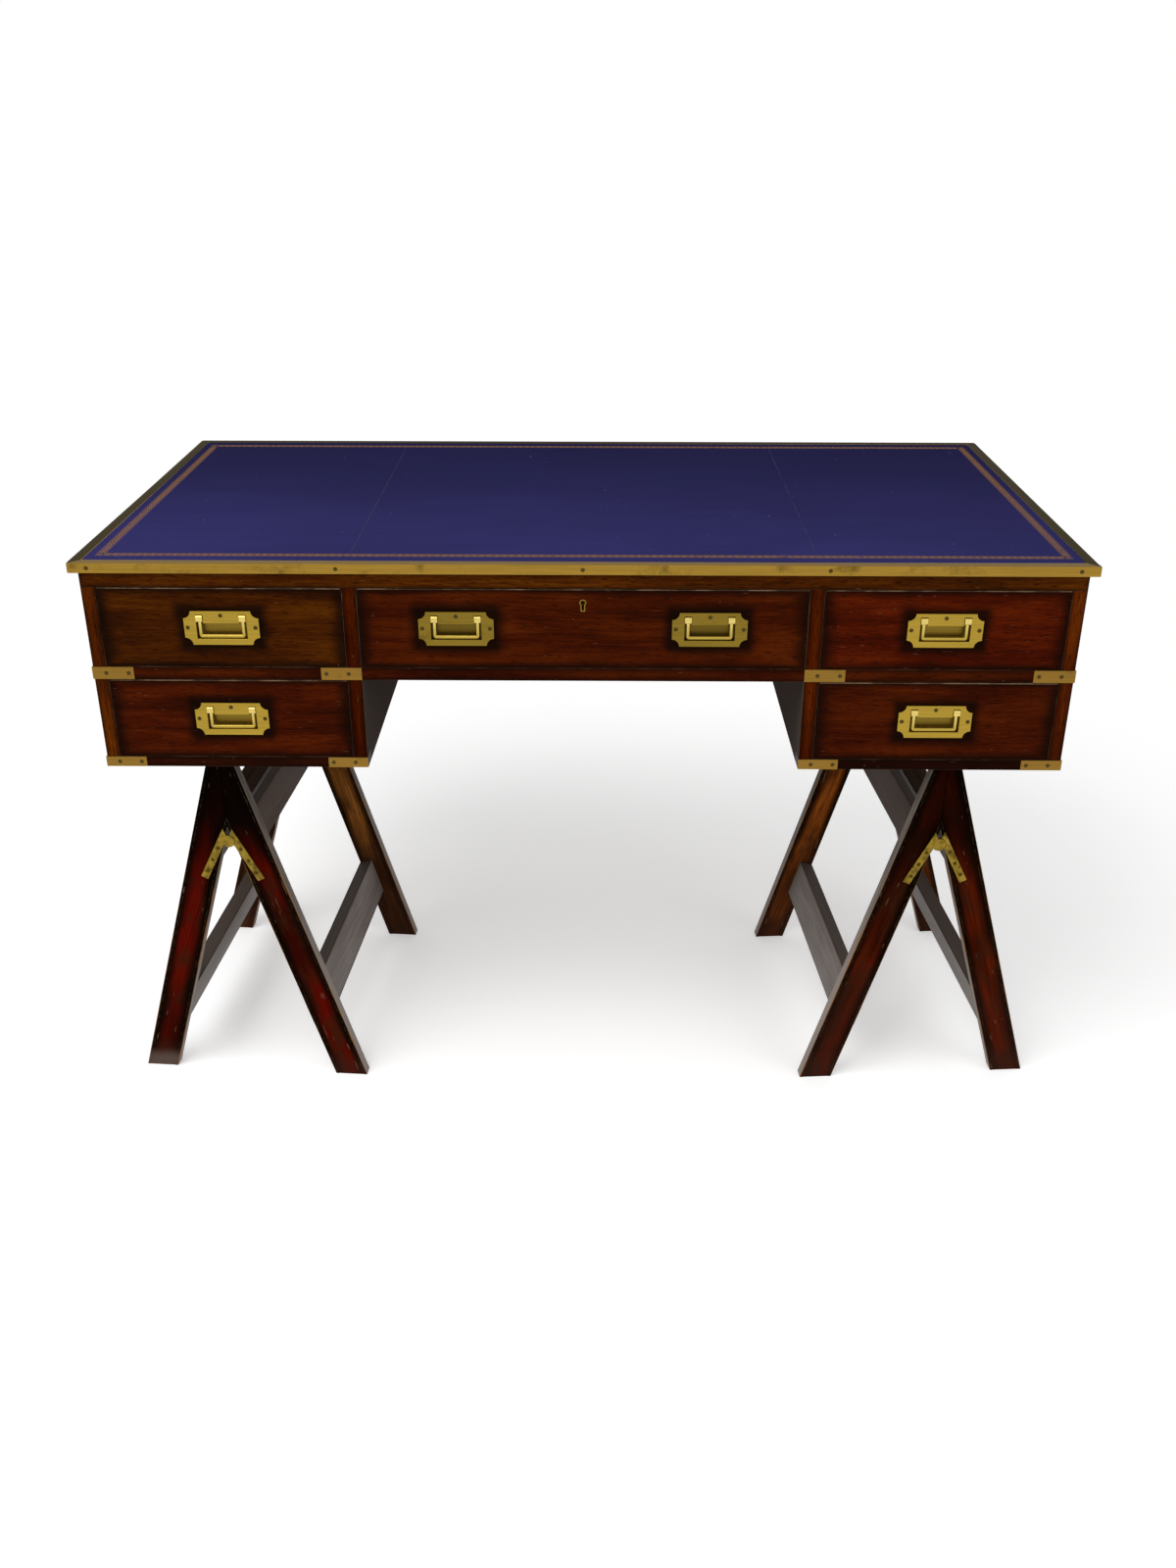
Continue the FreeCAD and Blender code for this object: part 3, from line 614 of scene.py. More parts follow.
class Board(Finish):
    """A wooden finish that knows where on its board a point lies."""

    def __init__(self, name):
        super().__init__(name)
        self.board = self.attribute("board")
        self.half = self.attribute("board_half")
        self.at = self.board + self.attribute("board_shift")
        self.ends, self.sides, self.faces = self.split(self.half - abs(self.board))
        self.edge = corner_distance(self.ends, self.sides, self.faces)

    def worn(self, edge, width, cover):
        """A mask of the edges where the polish is rubbed through, broken up along them."""
        broken = self.noise(self.at, (30, 60, 60)).rise(0.42, 0.62)
        return edge.fade(0.1 * MM, width) * cover * (broken * 0.75 + 0.25)


class Mahogany(Board):
    """Streaks, pores and clouds of mahogany, before any dirt or wear."""

    def __init__(self, name, look, hue=(1, 1, 1), lift=0.0):
        super().__init__(name)
        sway = (self.noise(self.at, (3.5, 9, 9), detail=2.0) - 0.5) * 0.02
        x, y, z = self.split(self.at)
        bent = self.value(0, "ShaderNodeCombineXYZ", (x, y + sway, z + sway))
        broad = self.noise(bent, (4, 45, 45))
        self.streak = self.noise(bent, (13, 340, 340), detail=4.0, roughness=0.65)
        self.fibre = self.noise(bent, (60, 1500, 1500), detail=2.0)
        self.cloud = self.noise(self.at, (6, 14, 14))
        self.pores = self.noise(bent, (70, 700, 700), detail=1.0).rise(0.60, 0.68)
        tone = broad * 0.30 + self.streak * 0.26 + self.fibre * 0.18 + self.cloud * 0.26
        tone = tone + self.attribute("board_tone", "Fac") * 0.04 + (lift - 0.02)
        dark, ground, light = ([c * k for c, k in zip(tint, hue)]
                               for tint in (look.dark, look.ground, look.light))
        self.tint = self.ramp(tone, [(0.38, dark), (0.47, ground), (0.57, light),
                                     (0.68, shade(light, 1.5))])
        self.coat(self.pores * 0.75, look.dark)


def beyond_plate(f, centre, plate_half):
    """Distance from a plate let into a board's face."""
    x, y = f.split(f.board)[:2]
    out_x = (abs(x - centre) - plate_half[0]).most(0.0)
    out_y = (abs(y) - plate_half[1]).most(0.0)
    return f.reckon("SQRT", out_x * out_x + out_y * out_y)


def polished_wood(name, look, stains, edge_dirt, hue, lift, kneehole_sheen=0.0, spread=1.0,
                  top_edge_highlight=True, worn=0.3):
    """French polished mahogany: dark in its corners and round the brass, rubbed on its edges;
    where asked, with a painted highlight along its top edge and a painted grey sheen on the
    kneehole sides.
    """
    f = Mahogany(name, look, hue, lift)
    ragged = f.streak * 0.5 + f.noise(f.at, (13, 34, 34), detail=4.0) * 0.5
    soiled = (f.ends * 0.75).least(f.sides * 1.6) if stains else f.edge
    reach = ragged * (0.062 * spread) - 0.014 * spread
    dirt = (soiled / reach).fade(0.0, 1.0, edge_dirt)
    for centre, plate_half, width in stains:
        stain_reach = ragged * (3.2 * width) - 0.75 * width
        stain = (beyond_plate(f, centre, plate_half) / stain_reach).fade(0.0, 1.0, 0.9)
        dirt = dirt.most(stain)
    f.coat(dirt, look.old_polish_and_shadow)
    # Painted reflection: the broad faces of the kneehole sides take a grey for the sheen seen at a
    # grazing angle, and their real reflection is turned off.
    if kneehole_sheen:
        f.coat(f.faces.fade(0.1 * MM, 0.6 * MM) * kneehole_sheen, look.grazing_sheen)
    f.coat(f.worn(f.edge, 0.9 * MM, worn), look.rubbed)
    # Painted highlight: a pale broken line along the top edge, for the arris catching the light.
    if top_edge_highlight:
        from_top = f.split(f.half)[1] - f.split(f.board)[1]
        facing = f.faces.fade(0.8 * MM, 1.6 * MM)
        f.coat(f.worn(from_top, 1.5 * MM, 1.0) * facing, look.rubbed)
    nicks = f.scratches(f.at + (3.1, 7.7, 1.3), 55, 620, 0.765)
    chips = f.cells(f.at, 38).fade(0.02, 0.04)
    marks = nicks.most(chips)
    f.coat(marks * 0.3, look.rubbed)
    height = f.fibre - f.pores * 1.2 - marks * 1.5
    return f.done(Roughness=f.cloud * 0.2 + (look.gloss - 0.06) + marks * 0.2,
                  Specular_IOR_Level=0.0 if kneehole_sheen else look.sheen,
                  Normal=f.relief(height, 0.1 * MM, 0.5))


def leg_wood(name, look, core, case_shadow_depth=0.97, low_soot=0.0, band=0.0, burn=0.034):
    """A leg's faces: warm down the middle, blackened towards its edges, with a painted shadow of
    the case at its head, and grey on its flanks from a painted reflection and from wear.
    """
    f = Mahogany(name, look, (1.0, 0.6, 0.6))
    ragged = f.noise(f.at, (8, 30, 30))
    f.tint = f.blend(f.streak.fade(0.36, 0.64, 0.55), shade(core, 1.25), f.tint)
    f.coat(f.noise(f.at, (5, 12, 12), detail=2.0).fade(0.36, 0.6, 0.7), look.old_polish_and_shadow)
    stain = f.noise(f.at + (2.1, 7.7, 4.9), (14, 40, 40), detail=4.0, roughness=0.6)
    f.coat(stain.rise(0.44, 0.62, 0.0, 0.7), WARM_STAIN)
    f.coat((f.sides / (ragged * burn + 0.001)).fade(0.2, 1.1), look.old_polish_and_shadow)
    # Painted shadow: the head of each leg is darkened to near black for the shadow the case casts
    # on it.
    from_head = f.split(f.half)[0] - f.split(f.board)[0]
    case_shadow = (from_head - ragged * 0.14).fade(0.0, 0.17, case_shadow_depth)
    f.coat(case_shadow, shade(look.old_polish_and_shadow, 0.4))

    height = f.split(f.place())[2]
    f.coat((height - ragged * 0.1).fade(0.05, 0.17, low_soot), FOOT_SOOT)
    f.coat((height - ragged * 0.03).fade(-0.005, 0.035, 0.5), FOOT_DIRT)
    if band:
        f.coat((height - ragged * 0.016).fade(0.004, 0.024, band), FOOT_DUST)
    # Partly painted reflection, partly wear: the flanks take a grey for the pale surroundings they
    # reflect, paler lower down.
    grey = f.blend(f.streak.rise(0.35, 0.65), FLANK_DARK, FLANK_PALE)
    grey = f.blend(height.fade(0.12, 0.38, 0.8), grey, FLANK_FOOT)
    f.coat(f.sides.fade(0.15 * MM, 0.5 * MM), grey)

    f.coat(f.worn(f.edge, 2.0 * MM, 1.0) * (1.0 - case_shadow), OCHRE_EDGE)
    dust = f.noise(f.at, (150, 150, 150)).rise(0.38, 0.66)
    line = abs(f.sides - look.line_inset).fade(0.15 * MM, 0.5 * MM) * dust
    f.coat(line * 0.55, DUST_IN_LINE)
    marks = f.scratches(f.at + (5.5, 2.7, 3.3), 35, 300, 0.73)
    f.coat(marks * 0.35, look.rubbed)
    return f.done(Roughness=f.cloud * 0.2 + look.gloss, Specular_IOR_Level=0.3 * look.sheen,
                  Normal=f.relief(f.fibre - marks * 1.5, 0.12 * MM, 0.6))


def rail_wood(name, look):
    """Trestle rails: waxed, and greyer than the legs from a painted reflection, lighter low down
    from painted light off the floor.
    """
    f = Mahogany(name, look)
    # Painted light and reflection: the grey over the rails stands for the pale floor they reflect,
    # lighter low down where the floor lights them.
    low = f.split(f.place())[2].fade(0.15, 0.42)
    dust = f.blend(low, RAIL_SHEEN_HIGH, RAIL_SHEEN_LOW)
    dust = f.blend(f.streak.fade(0.25, 0.75, 0.35), dust, RAIL_STREAK)
    f.coat(f.noise(f.at, (3, 25, 25)).rise(0.4, 0.68, 0.94, 0.66), dust)
    # Upward faces low down stay dark brown, without the painted reflection.
    f.coat(f.upward().rise(0.6, 0.85, 0.0, 0.85) * low, RAIL_LEDGE)
    f.coat(f.edge.fade(0.5 * MM, 3 * MM, 0.4), look.old_polish_and_shadow)
    f.coat(f.worn(f.edge, 0.9 * MM, 0.45), look.rubbed)
    return f.done(Roughness=f.cloud * 0.2 + 0.3, Specular_IOR_Level=look.sheen,
                  Normal=f.relief(f.fibre, 0.15 * MM, 0.6))


def bare_wood(name, pale, deep):
    """Unpolished wood inside the drawers and under the case."""
    f = Board(name)
    streak = f.noise(f.at, (6, 190, 190), detail=5.0, roughness=0.6)
    fibre = f.noise(f.at, (45, 1300, 1300), detail=2.0)
    f.tint = f.ramp(fibre * 0.3 + streak * 0.7, [(0.32, deep), (0.62, pale)])
    soil = f.noise(f.at, (9, 9, 9), detail=4.0).rise(0.5, 0.75, 0.0, 0.5)
    f.coat(soil, shade(deep, 0.45))
    f.coat(f.edge.fade(0.0, 4 * MM, 0.45), shade(deep, 0.4))
    return f.done(Roughness=0.72, Specular_IOR_Level=0.2,
                  Normal=f.relief(fibre, 0.2 * MM, 0.7))


# ---------------------------------------------------------------- brass
WORN_FLAT = (0.165, 0.105, 0.030)
DARK_FLAT = (0.030, 0.022, 0.006)


def edging_wear(f, at, mitre):
    """Where the edging lies flat on the top, where that flat is dark, and the painted highlight
    along its nose.
    """
    up = f.upward()
    x, y = f.split(at)[:2]
    past = abs(x) - abs(y)
    away = past.rise(mitre - 0.2 * MM, mitre + 0.2 * MM).most(y.rise(0.0, 0.01))
    flat = up.rise(0.6, 0.95) * (away * 0.28 + 0.7)
    # Painted highlight: the rounded nose of the front strip, kept free of tarnish as a lighter
    # line.
    nose = up.rise(0.15, 0.45) * up.fade(0.75, 0.95) * (1.0 - away)
    return flat, away, nose


def aged_brass(name, look, bright=None, brushed=(1, 0, 0), tarnish=0.35, well_from=None,
               rough=0.3, worked=0.5, mitre=None, rubbed=None, mottle=26):
    """Brass, bright in the open and dull in its corners; brushed is the way it was worked."""
    f = Finish(name)
    f.tint = bright or look.bright
    at = f.place()
    brush = f.noise(at, tuple(14 if way else 900 for way in brushed))
    patch = f.noise(at, (mottle, mottle, mottle), detail=6.0, roughness=0.68)
    spots = f.cells(at, 300).fade(0.08, 0.16) * f.noise(at, (60, 60, 60)).rise(0.55, 0.65)
    age = patch.rise(0.72 - 0.45 * tarnish, 1.0 - 0.4 * tarnish).most(spots * 0.6)
    if rubbed:
        f.coat(f.attribute("rubbed", "Fac"), rubbed)
    if mitre is not None:
        flat, away, nose = edging_wear(f, at, mitre)
        # The nose takes no tarnish, so that it shows as a painted highlight.
        age = age.most(flat) * (1.0 - nose)
        f.coat(nose, shade(f.tint, 0.84))
    if well_from is not None:
        age = age.most(f.split(at)[1].rise(well_from, well_from + 3 * MM, 0.0, 0.55))
    f.coat(age, look.dull)
    f.coat(brush.rise(0.42, 0.62, 0.0, 0.2), look.dull)
    shine = {"Metallic": 1.0}
    if mitre is not None:
        f.coat(flat, f.blend(away, WORN_FLAT, DARK_FLAT))
        shine = {"Metallic": 1.0 - flat * 0.95, "Specular_IOR_Level": 0.02}
    return f.done(Roughness=age * 0.2 + (rough - 0.06) + brush * 0.16,
                  Normal=f.relief(patch * 0.6 + brush, 0.04 * MM, worked), **shine)


# ---------------------------------------------------------------- the writing surface
RUBBED_HIDE = (0.14, 0.13, 0.24)
SCUFFED_HIDE = (0.20, 0.19, 0.28)
GILT_TOP = 0.05 * MM
SEAM_TOP = 0.03 * MM
TOOLED_DEPTH = 0.2 * MM
# The inset and the width of each line of the border.
BORDER_LINES = ((0.3 * MM, 0.5 * MM), (1.6 * MM, 0.3 * MM), (8.4 * MM, 0.3 * MM),
                (9.7 * MM, 0.5 * MM))
CORNER_STUDS = (2.6 * MM, 1.2 * MM)
# The chain's strands, their swing as a share of the border, and its seeds' foot and top.
CHAIN_STRAND = 1.15 * MM
CHAIN_SWING = 0.24
CHAIN_SEED = (1.15 * MM, 1.1 * MM)
DASH = 3.4 * MM
DASH_PITCH = 1.5 * DASH
SEAM_WIDTH = 0.9 * MM
SEAM_MARGIN = 4 * MM


def skiver(name, look):
    """Blue-violet hide, polished by use, with scuffs and a fine grain."""
    f = Finish(name)
    at = f.place()
    cloud = f.noise(at, (3, 5, 5), detail=4.0)
    f.tint = f.blend(cloud.rise(0.35, 0.68), look.hide, shade(look.hide, 1.2))
    wipe = f.noise(at, (3, 240, 240), detail=2.0)
    f.coat(wipe.rise(0.5, 0.8, 0.0, 0.2), shade(look.hide, 0.6))
    # Painted shade: the hide darkens towards the back, away from the light.
    f.coat(f.split(at)[1].rise(-0.3, 0.3, 0.0, 0.74), shade(look.hide, 0.4))
    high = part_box("leather_writing_surface")[1]
    inset = corner_distance(*f.split((high.x, high.y, 1.0) - abs(at)))
    f.coat(inset.fade(0.4 * MM, 1.6 * MM, 0.35), RUBBED_HIDE)
    smears = f.noise(at, (190, 70, 70), detail=1.0).rise(0.79, 0.82)
    pecks = f.cells(at, 21).fade(0.012, 0.035)
    worn = f.scratches(at, 60, 210, 0.785).most(smears).most(pecks * 0.8)
    f.coat(worn * 0.3, SCUFFED_HIDE)
    grain = f.cells(at, 1100, "SMOOTH_F1")
    return f.done(Roughness=cloud * 0.18 + 0.42, Specular_IOR_Level=look.shine,
                  Normal=f.relief(grain - worn * 0.4, 0.09 * MM, 0.45))


def tooled_gold(name, look, gilt, worn):
    """Gold leaf pressed into the leather, rubbed away in places."""
    f = Finish(name)
    at = f.place()
    left = f.noise(at, (35, 35, 35), detail=4.0, roughness=0.7)
    fine = f.noise(at, (700, 700, 700), detail=2.0)
    gone = (fine * 0.35 + left * 0.65).rise(0.66 - 0.3 * worn, 0.8 - 0.3 * worn)
    f.tint = f.blend(gone, gilt, shade(look.hide, 0.8))
    return f.done(Metallic=0.3 - gone * 0.3, Roughness=fine * 0.3 + 0.4,
                  Specular_IOR_Level=0.005)


def ribbon(bm, path, width, low, high):
    """A thin flat strip along a path of (x, y) points, from low to high."""
    rings = []
    for spot, run in with_runs(path):
        out = Vector((-run.y, run.x)) * width / 2
        left, right = spot + out, spot - out
        rings.append([Vector((*left, low)), Vector((*right, low)),
                      Vector((*right, high)), Vector((*left, high))])
    sweep(bm, rings)


def rectangle_line(bm, half_x, half_y, width, low, high):
    """A mitred line round a rectangle."""
    outer = (half_x + width / 2, half_y + width / 2)
    inner = (half_x - width / 2, half_y - width / 2)
    corners = ((-1, -1), (1, -1), (1, 1), (-1, 1))
    for (ax, ay), (bx, by) in zip(corners, corners[1:] + corners[:1]):
        ring = [(ax * outer[0], ay * outer[1]), (bx * outer[0], by * outer[1]),
                (bx * inner[0], by * inner[1]), (ax * inner[0], ay * inner[1])]
        sweep(bm, [[Vector((x, y, z)) for x, y in ring] for z in (low, high)])


def chain_side(bm, start, end, corner_gap, look, low, high, per_link=8):
    """Two waves that cross each other, from one corner to the next, with a seed in each link."""
    start, end = Vector(start), Vector(end)
    run = (end - start).normalized()
    out = Vector((-run.y, run.x))
    span = (end - start).length - 2 * corner_gap
    links = max(1, round(span / look.repeat))
    pitch = span / links
    reach = look.border_width * CHAIN_SWING
    origin = start + run * corner_gap
    for phase in SIDES:
        path = []
        for step in range(links * per_link + 1):
            along = step / per_link
            swing = phase * reach * math.sin(math.pi * along)
            path.append(tuple(origin + run * along * pitch + out * swing))
        ribbon(bm, path, CHAIN_STRAND, low, high)
    for link in range(links):
        spot = origin + run * (link + 0.5) * pitch
        seed = list(zip(CHAIN_SEED, (0, high - low)))
        turned(bm, Vector((*spot, low)), UP, seed, count=8)


def dress_writing_surface(context):
    look = settings(context).leather
    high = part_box("leather_writing_surface")[1]
    finish("leather_writing_surface", skiver("blue_skiver", look), SOFT_ARRIS,
           name="tooled_leather")

    top = high.z + GILT_TOP
    bottom = high.z - TOOLED_DEPTH
    outer_x = high.x - look.border_side
    outer_y = high.y - look.border_front
    bm = bmesh.new()
    for inset, width in BORDER_LINES:
        rectangle_line(bm, outer_x - inset, outer_y - inset, width, bottom, top)
    gap = look.border_width / 2
    mid_x, mid_y = outer_x - gap, outer_y - gap
    ring = ((-mid_x, -mid_y), (mid_x, -mid_y), (mid_x, mid_y), (-mid_x, mid_y))
    for start, end in zip(ring, ring[1:] + ring[:1]):
        chain_side(bm, start, end, gap, look, bottom, top)
        for size in CORNER_STUDS:
            stud = [(size, 0), (size, top - bottom)]
            turned(bm, Vector((*start, bottom)), UP, stud, count=8)
    gold = tooled_gold("worn_gilding", look, look.gilt, 0.35)
    piece("gilt_border", bm, gold, "case")

    bm = bmesh.new()
    reach = outer_y - look.border_width - SEAM_MARGIN
    for x in (-look.seam_place, look.seam_place):
        for step in range(int(2 * reach / DASH_PITCH)):
            y = -reach + step * DASH_PITCH
            ribbon(bm, [(x, y), (x, y + DASH)], SEAM_WIDTH, bottom, high.z + SEAM_TOP)
    faded = tooled_gold("faded_gilding", look, look.faded, 0.75)
    piece("cross_seams", bm, faded, "case")


# ---------------------------------------------------------------- the case
def dress_edging(context):
    look = settings(context).brass
    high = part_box("brass_edging")[1]
    metal = aged_brass("edging_brass", look, look.edging, tarnish=0.45, rough=0.38,
                       mitre=high.x - high.y)
    bm = solids_of("brass_edging")
    nose = []
    rims = []
    for edge in outline_edges(bm, skip_axis=2):
        at_top = min(vertex.co.z for vertex in edge.verts) > high.z - look.arris
        (nose if at_top else rims).append(edge)
    round_off(bm, nose, look.nosing, segments=5)
    round_off(bm, [edge for edge in rims if edge.is_valid], 2 * look.arris)
    stand_in("brass_edging", bm, metal, "angle_edging")


# Each board's draws of shift and tone start from the desk's seed plus its own number.
FLOOR_SEEDS = 20
DRAWER_SEEDS = 40
BOX_SEEDS = 50
LEG_SEEDS = 60
RAIL_SEEDS = 80

# The pale and the deep streaks of the unpolished boards.
FLOOR_BOARD_COLOURS = ((0.19, 0.10, 0.048), (0.085, 0.038, 0.017))

# The run of the grain, then the finish's hue, lift, painted kneehole sheen and spread.
CASE_BOARDS = {
    "desktop_panel": (RIGHT, (1, 1, 1), 0.0, 0.0, 1.0),
    "left_end_panel": (UP, (1.6, 2.2, 0.6), 0.0, 0.0, 0.3),
    "right_end_panel": (UP, (1.4, 1.6, 1), 0.0, 0.0, 0.3),
    "left_partition": (UP, (1.2, 1.15, 1), 0.0, 0.92, 0.62),
    "right_partition": (UP, (1.2, 1.15, 1), 0.0, 0.92, 0.62),
    "top_rail": (RIGHT, (1.7, 2.9, 1.5), 0.01, 0.0, 0.3),
    "middle_rail": (RIGHT, (0.85, 0.8, 1), -0.015, 0.0, 0.5),
    "bottom_rails": (RIGHT, (0.55, 0.6, 2.0), -0.03, 0.0, 0.7),
    "back_panel": (RIGHT, (1, 1.2, 1), 0.0, 0.0, 1.0),
}


def dress_case(context):
    look = settings(context).wood
    seed = settings(context).seed
    for number, (node, (run, *tones)) in enumerate(CASE_BOARDS.items()):
        polished = polished_wood(node + "_mahogany", look, (), 0.7, *tones, "rail" in node)
        finish(node, polished, look.arris, seed + number, run)
    rough = bare_wood("floor_board_wood", *FLOOR_BOARD_COLOURS)
    for number, node in enumerate(("middle_boards", "bottom_boards")):
        finish(node, rough, SOFT_ARRIS, seed + FLOOR_SEEDS + number, RIGHT)


def dress_straps(context):
    look = settings(context).brass
    metal = aged_brass("strap_brass", look, look.strap, tarnish=0.4, rough=0.36)
    finish("brass_corner_straps", metal, look.arris, name="corner_straps_finished")


# ---------------------------------------------------------------- drawers
# The hue and lift of each drawer front.
DRAWER_TONES = {
    "left_upper_drawer": ((1.1, 1.8, 1.0), 0.0),
    "left_lower_drawer": ((1.12, 1.0, 1.0), 0.0),
    "centre_drawer": ((1.02, 1.0, 1.0), 0.0),
    "right_upper_drawer": ((1.4, 1.0, 1.0), 0.005),
    "right_lower_drawer": ((0.95, 0.85, 1.0), 0.0),
}
PLATE_HALF = (46 * MM, 22 * MM)
PLATE_OFFSET = 153 * MM
STAIN_WIDTH = 19 * MM
WELL_DEPTH = 2.5 * MM
BOX_ARRIS = 0.5 * MM
LINING_COLOURS = ((0.30, 0.17, 0.085), (0.15, 0.075, 0.034))


def plate_of(drawer):
    """The name of a drawer's handle plates."""
    return drawer + ("_handle_plates" if drawer == "centre_drawer" else "_handle_plate")


def dress_drawers(context):
    look = settings(context).wood
    seed = settings(context).seed
    lining = bare_wood("drawer_lining_wood", *LINING_COLOURS)
    for number, (name, tones) in enumerate(DRAWER_TONES.items()):
        centres = (-PLATE_OFFSET, PLATE_OFFSET) if name == "centre_drawer" else (0.0,)
        stains = [(centre, PLATE_HALF, STAIN_WIDTH) for centre in centres]
        front = polished_wood(name + "_mahogany", look, stains, 0.85, *tones, worn=0.08)
        finish(name + "_front", front, look.arris, seed + DRAWER_SEEDS + number, RIGHT)
        finish(name + "_box", lining, BOX_ARRIS, seed + BOX_SEEDS + number)


def dress_handle_plates(context):
    look = settings(context).brass
    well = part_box("left_upper_drawer_handle_plate")[0].y + WELL_DEPTH
    metal = aged_brass("handle_brass", look, tarnish=0.2, well_from=well)
    duller = aged_brass("dull_handle_brass", look, shade(look.bright, 0.57), tarnish=0.42,
                        well_from=well)
    for drawer in DRAWER_TONES:
        holes = drop_screws(solids_of(drawer + "_handle_screws"))
        bm = solids_of(plate_of(drawer))
        round_off(bm, face_edges(bm, TOWARDS_SITTER, holes), look.arris)
        stand_in(plate_of(drawer), bm, duller if drawer == "centre_drawer" else metal)


KNUCKLE = 4.1 * MM
KNUCKLE_WIDTH = 8.1 * MM
KNUCKLE_ROUND = 2.0 * MM
KNUCKLE_ARRIS = 0.35 * MM
PIN_RADIUS = 1.2 * MM
PIN_ROOT = 1 * MM
PIN_REACH = 1.3 * MM
BAR_LIFT = 3.0 * MM
BAR_TURN = 1.6 * MM
ARM_DROP = 2.6 * MM
BAIL_WIDE = 4.2 * MM
BAIL_THICK = 4.0 * MM
BAIL_ROUNDNESS = 0.75
BAIL_RUBBED = (0.80, 0.62, 0.18)


def bail_path(half, low, high, turn, steps=4):
    """The bail's line in its own plane: down one arm, along the bar and up the other."""
    path = [(-half, high)]
    for side in SIDES:
        for step in range(steps + 1):
            angle = math.pi / 2 * (step if side < 0 else steps - step) / steps
            path.append((side * (half - turn + turn * math.cos(angle)),
                         low + turn - turn * math.sin(angle)))
    path.append((half, high))
    return path


def bail_bar(bm, centre, path, count=12):
    """The bail's rounded bar along its path."""
    rings = []
    for spot, run in with_runs(path):
        out = Vector((run.y, 0, -run.x))
        ring = []
        for step in range(count):
            angle = 2 * math.pi * step / count
            wide, thick = (math.copysign(abs(turn(angle)) ** BAIL_ROUNDNESS, turn(angle))
                           for turn in (math.cos, math.sin))
            ring.append(centre + Vector((spot.x, thick * BAIL_THICK / 2, spot.y))
                        + out * wide * BAIL_WIDE / 2)
        rings.append(ring)
    sweep(bm, rings)


def knuckle_block(middle):
    """The mesh of a square knuckle with rounded corners, at the top of a bail's arm."""
    block = bmesh.new()
    bmesh.ops.create_cube(block, size=1.0)
    for vertex in block.verts:
        vertex.co = middle + vertex.co * Vector((KNUCKLE_WIDTH, 2 * KNUCKLE, 2 * KNUCKLE))
    along = [e for e in block.edges if abs(e.verts[0].co.x - e.verts[1].co.x) > KNUCKLE]
    bevel(block, along, KNUCKLE_ROUND, segments=4, clamp=True)
    rims = [e for e in block.edges if e.calc_face_angle(0) > SHARP]
    bevel(block, rims, KNUCKLE_ARRIS, segments=2, clamp=True)
    mesh = bpy.data.meshes.new("knuckle")
    block.to_mesh(mesh)
    block.free()
    return mesh


def dress_bails(context):
    look = settings(context).brass
    metal = aged_brass("bail_brass", look, look.handle, tarnish=0.0, rough=0.24, worked=0.2,
                       rubbed=BAIL_RUBBED)
    for joint in JOINTS.values():
        name = joint["child"]
        if not name.endswith("_bail"):
            continue
        low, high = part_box(name)
        pivot = Vector(joint["pos_m"])
        half = (high.x - low.x) / 2 - PIN_REACH
        bm = bmesh.new()
        path = bail_path(half - KNUCKLE, low.z - pivot.z + BAR_LIFT, -ARM_DROP, BAR_TURN)
        bail_bar(bm, pivot, path)
        for side in SIDES:
            mesh = knuckle_block(pivot + RIGHT * side * (half - KNUCKLE_WIDTH / 2))
            bm.from_mesh(mesh)
            bpy.data.meshes.remove(mesh)
            pin = [(PIN_RADIUS, 0), (PIN_RADIUS, PIN_ROOT + PIN_REACH)]
            turned(bm, pivot + RIGHT * side * (half - PIN_ROOT), RIGHT * side, pin)
        rubbed = bm.verts.layers.float.new("rubbed")
        for vertex in bm.verts:
            vertex[rubbed] = float(vertex.co.z > pivot.z - KNUCKLE - 0.1 * MM)
        stand_in(name, bm, metal, smooth=50)


def dress_lock(context):
    look = settings(context).brass
    rim = aged_brass("escutcheon_brass", look, look.strap, (0, 0, 1), 0.25)
    bm = solids_of("keyhole_escutcheon")
    round_off(bm, face_edges(bm, TOWARDS_SITTER), 0.2 * MM)
    stand_in("keyhole_escutcheon", bm, rim, "escutcheon_finished")
    case = aged_brass("lock_brass", look, tarnish=0.8, rough=0.45)
    for node in ("lock_body", "lock_bolt"):
        finish(node, case, 0.3 * MM)


# ---------------------------------------------------------------- screws
SCREW_RADIUS = 2.55 * MM
SLOT_FLOOR = -0.45 * MM
SUNK_DEPTH = 1.1 * MM
SUNK_TAPER = 0.8
CROWN_TAPER = 0.86


def slotted_head(bm, place, axis, slot, turn, proud=0.0, steps=10):
    """A countersunk head: two halves with the driver's slot between them, on a sunk disc."""
    radius = SCREW_RADIUS
    side = Matrix.Rotation(turn, 3, axis) @ axis.orthogonal().normalized()
    other = axis.cross(side)
    disc = [(radius * SUNK_TAPER, -SUNK_DEPTH), (radius, SLOT_FLOOR - 0.1 * MM),
            (radius, SLOT_FLOOR)]
    turned(bm, place, axis, disc, count=24)
    half = slot / 2
    start = math.asin(half / radius)
    for way in SIDES:
        angles = [start + (math.pi - 2 * start) * step / steps for step in range(steps + 1)]
        rim = [(math.cos(a) * radius, math.sin(a) * radius * way) for a in angles]
        crown = [(x * CROWN_TAPER, half * way + (y - half * way) * CROWN_TAPER)
                 for x, y in rim]
        levels = ((rim, SLOT_FLOOR - 0.05 * MM), (rim, proud - 0.12 * MM),
                  (crown, proud + 0.02 * MM))
        sweep(bm, [[place + side * x + other * y + axis * z for x, y in ring]
                   for ring, z in levels])


